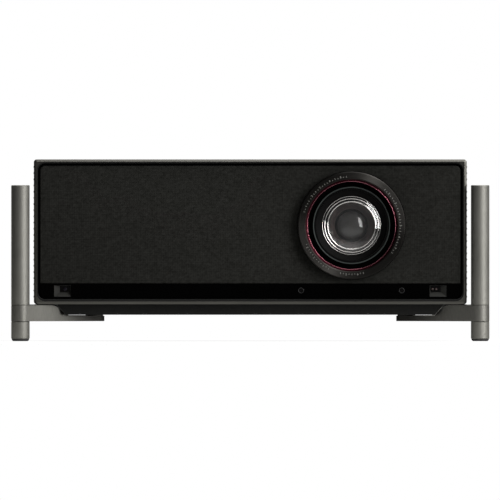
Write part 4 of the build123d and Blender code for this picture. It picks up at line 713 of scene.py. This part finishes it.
# The barrel's rounded edge shows as a thin, cool grey line: a painted highlight, matt grey standing in
# for the light the edge catches.
edge_highlight_grey = grained("anodised_aluminium_edge_highlight", ("#222625", "#2B302E"), (0.45, 0.55), 0.5, 0.0,
                    **{"Specular IOR Level": 0.2})
mouth = bmesh.new()
add_bead(mouth, 34.3, -167.85, 1.2, lens_axis)
piece(mouth, "barrel_edge", "lens", edge_highlight_grey, 50)

# Front glass: one thick pressed element in its cell, nearly flat in the middle and steeper at the rim.
# Polished crown glass mirrors a twentieth of the light, so lamps show as bright shapes.
haze_width = 30.0
clear = new_material("crown_glass_polished")
tree = clear.node_tree
where = add_node(tree, "ShaderNodeTexCoord")
haze = add_node(tree, "ShaderNodeTexNoise",
                {"Vector": where.outputs["Object"], "Scale": 1000 / haze_width, "Detail": 2.0})
rough = add_node(tree, "ShaderNodeMapRange",
                 {"Value": haze.outputs["Fac"], "To Min": 0.0, "To Max": 0.01})
shader = add_node(tree, "ShaderNodeBsdfPrincipled",
                  {"Base Color": (1, 1, 1, 1), "Transmission Weight": 1.0, "IOR": 1.6,
                   "Roughness": rough.outputs["Result"]})
add_node(tree, "ShaderNodeOutputMaterial", {"Surface": shader.outputs["BSDF"]})
dress(clear, "inner_lenses", "engine_optics", "diffuser_wheel")


def sag(radius, reach):
    """How far a domed face has fallen back at a distance from its axis."""
    return radius - math.sqrt(radius ** 2 - reach ** 2)


def cap_arc(radius, rim, tip, steps):
    """Points of a domed face from its tip on the axis out to its rim, as (radius, depth)."""
    return [(rim * k / steps, tip + sag(radius, rim * k / steps)) for k in range(steps + 1)]


rim_radius, rim_tip, glass_rim = 63.75, -167.0, 27.0
crown_radius, crown_rim = 180.0, 21.0
hollow_radius, hollow_tip = 183.25, -158.0
rim_arc = [(r, y) for r, y in cap_arc(rim_radius, glass_rim, rim_tip, 40) if r > crown_rim]
crown_tip = rim_tip + sag(rim_radius, crown_rim) - sag(crown_radius, crown_rim)
dome = bmesh.new()
turn(dome, cap_arc(crown_radius, crown_rim, crown_tip, 20) + rim_arc
     + cap_arc(hollow_radius, glass_rim, hollow_tip, 20)[::-1], lens_axis, closed=False)
front_glass = piece(dome, "front_glass_dome", "front_cell", clear, 30)
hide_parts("front_glass")

# Glass rings: three polished rings bonded round the rim of the front glass, over a black painted band.
# Polished aluminium shows the surround as three thin bright circles.
polish = grained("aluminium_polished", ("#D2D0CD", "#DEDCD9"), (0.10, 0.16), 0.6, 0.0, Metallic=1.0)
rings = bmesh.new()
for radius, thick in ((26.15, 0.8), (24.1, 1.3), (21.5, 1.3)):
    add_bead(rings, radius, rim_tip + sag(rim_radius, radius), thick, lens_axis)
piece(rings, "glass_rings", "front_cell", polish, 50)
band_clear, band_thick = 0.06, 0.3
band_face = [(r, y + band_clear) for r, y in rim_arc]
band = bmesh.new()
turn(band, band_face + [(r, y + band_thick) for r, y in band_face[::-1]], lens_axis)
piece(band, "glass_band", "front_cell", flat_black, 50)

# Inner mount: a turned cone behind the glass and a second, smaller lens in its holder.
# The cone is anodised a satin black with a brown cast.
cone_brown = grained("anodised_aluminium_satin_brown", ("#2E2624", "#3A302D"), (0.35, 0.45), 0.6, 0.002,
                     **{"Specular IOR Level": 0.3})
# The second lens is coated against reflections and shows one highlight from the lamps. Its smooth dark
# grey is painted light: an opaque grey face stands in for the dim light seen in the middle of the lens.
lens_grey_painted = grained("optical_glass_painted_grey", ("#373635", "#3E3D3C"), (0.02, 0.03), 2.0, 0.0,
                     **{"IOR": 1.42})
second_radius, second_rim, second_tip, second_back = 22.5, 12.7, -154.0, -147.5
cone = bmesh.new()
turn(cone, [(23.9, -156.6), (20.9, -156.4), (14.6, -150.5), (14.4, -149.0), (23.9, -149.0)], lens_axis)
piece(cone, "lens_cone", "front_cell", cone_brown, 40)
holder = bmesh.new()
turn(holder, [(14.7, -150.6), (12.6, -150.2), (12.4, -147.0), (14.7, -147.0)], lens_axis)
piece(holder, "second_lens_holder", "front_cell", flat_black, 40)
second = bmesh.new()
turn(second, cap_arc(second_radius, second_rim, second_tip, 24)
     + [(second_rim, second_back), (0, second_back)], lens_axis, closed=False)
piece(second, "second_lens", "front_cell", lens_grey_painted, 40)


# Studio: a pale floor that fades into the white surround, three soft lamps and a small one for the
# trim ring. In reflections the surround is white behind the object and dimmer on the camera's side,
# where the room is.
def add_sight(tree):
    """Two sockets: 1 where the camera looks straight, and 1 where it also looks by mirror or glass."""
    ray = add_node(tree, "ShaderNodeLightPath")
    direct = ray.outputs["Is Camera Ray"]
    mirrored = add_node(tree, "ShaderNodeMath", {0: direct, 1: ray.outputs["Is Glossy Ray"]},
                        operation="MAXIMUM")
    through = add_node(tree, "ShaderNodeMath",
                       {0: mirrored.outputs["Value"], 1: ray.outputs["Is Transmission Ray"]},
                       operation="MAXIMUM")
    return direct, through.outputs["Value"]


floor_radius, floor_z, fade_start, fade_end = 1.2, -0.0005, 0.35, 0.9
white_level, white_seen, white_direct = 1.06, 0.2, 0.66
floor_mesh = bmesh.new()
bmesh.ops.create_circle(floor_mesh, cap_ends=True, radius=floor_radius, segments=64)
floor_data = bpy.data.meshes.new("floor")
floor_mesh.to_mesh(floor_data)
floor_mesh.free()
floor = bpy.data.objects.new("floor", floor_data)
scene.collection.objects.link(floor)
floor.location.z = floor_z
# Matt paint is an even pale grey that takes a soft shadow; towards its edge it gives way to white.
paint = new_material("floor_matt_paint")
tree = paint.node_tree
where = add_node(tree, "ShaderNodeTexCoord")
reach = add_node(tree, "ShaderNodeVectorMath", {0: where.outputs["Object"]}, operation="LENGTH")
fade = add_node(tree, "ShaderNodeMapRange",
                {"Value": reach.outputs["Value"], "From Min": fade_start, "From Max": fade_end},
                interpolation_type="SMOOTHSTEP")
matt = add_node(tree, "ShaderNodeBsdfDiffuse", {"Color": linear("#DDDDDB")})
white = add_node(tree, "ShaderNodeEmission", {"Color": (1, 1, 1, 1), "Strength": white_level})
direct, seen = add_sight(tree)
share = add_node(tree, "ShaderNodeMath", {0: seen, 1: white_seen}, operation="MULTIPLY")
straight = add_node(tree, "ShaderNodeMath", {0: direct, 1: white_direct, 2: share.outputs["Value"]},
                    operation="MULTIPLY_ADD")
pale = add_node(tree, "ShaderNodeMixShader",
                {0: straight.outputs["Value"], 1: matt.outputs["BSDF"], 2: white.outputs["Emission"]})
gone = add_node(tree, "ShaderNodeBsdfTransparent")
below = add_node(tree, "ShaderNodeNewGeometry")
hidden = add_node(tree, "ShaderNodeMath", {0: fade.outputs["Result"], 1: below.outputs["Backfacing"]},
                  operation="MAXIMUM")
faded = add_node(tree, "ShaderNodeMixShader",
                 {0: hidden.outputs["Value"], 1: pale.outputs["Shader"], 2: gone.outputs["BSDF"]})
add_node(tree, "ShaderNodeOutputMaterial", {"Surface": faded.outputs["Shader"]})
floor_data.materials.append(paint)

lamp_aim = Vector((0, -0.1, 0.08))
lamps = {}
for name, place, width, tall, power in (
        ("key_lamp", (2.21, -2.18, 1.10), 1.44, 2.72, 138),
        ("top_lamp", (0.45, -0.25, 1.65), 1.9, 1.3, 34),
        ("back_lamp", (-0.9, 1.5, 1.9), 1.6, 1.2, 26),
        ("ring_lamp", (0.57, -1.15, 1.08), 0.3, 0.3, 25)):
    lamp_data = bpy.data.lights.new(name, "AREA")
    lamp_data.shape = "RECTANGLE"
    lamp_data.size, lamp_data.size_y = width, tall
    lamp_data.energy = power
    lamp = bpy.data.objects.new(name, lamp_data)
    lamp.location = place
    lamp.rotation_euler = (lamp_aim - lamp.location).to_track_quat("-Z", "Y").to_euler()
    scene.collection.objects.link(lamp)
    lamps[name] = lamp
# The small lamp is kept off all but the trim ring, where it draws the light fans of the turned face.
ring_only = bpy.data.collections.new("ring_only")
ring_only.objects.link(nodes["lens_trim_ring"])
lamps["ring_lamp"].light_linking.receiver_collection = ring_only

room_start, room_end, room_dim, fill = 0.3, 0.95, 0.16, 0.12
surround = bpy.data.worlds.new("surround")
surround.use_nodes = True
tree = surround.node_tree
tree.nodes.clear()
direct, seen = add_sight(tree)
way = add_node(tree, "ShaderNodeTexCoord")
parts = add_node(tree, "ShaderNodeSeparateXYZ", {"Vector": way.outputs["Generated"]})
room = add_node(tree, "ShaderNodeMapRange",
                {"Value": parts.outputs["Y"], "From Min": room_start, "From Max": room_end,
                 "To Min": room_dim, "To Max": 1.0}, interpolation_type="SMOOTHSTEP")
mirrored = add_node(tree, "ShaderNodeMath", {0: seen, 1: room.outputs["Result"]}, operation="MULTIPLY")
straight = add_node(tree, "ShaderNodeMath", {0: mirrored.outputs["Value"], 1: direct},
                    operation="MAXIMUM")
strength = add_node(tree, "ShaderNodeMath", {0: straight.outputs["Value"], 1: fill}, operation="MAXIMUM")
sky = add_node(tree, "ShaderNodeBackground",
               {"Color": (1, 1, 1, 1), "Strength": strength.outputs["Value"]})
add_node(tree, "ShaderNodeOutputWorld", {"Surface": sky.outputs["Background"]})
scene.world = surround
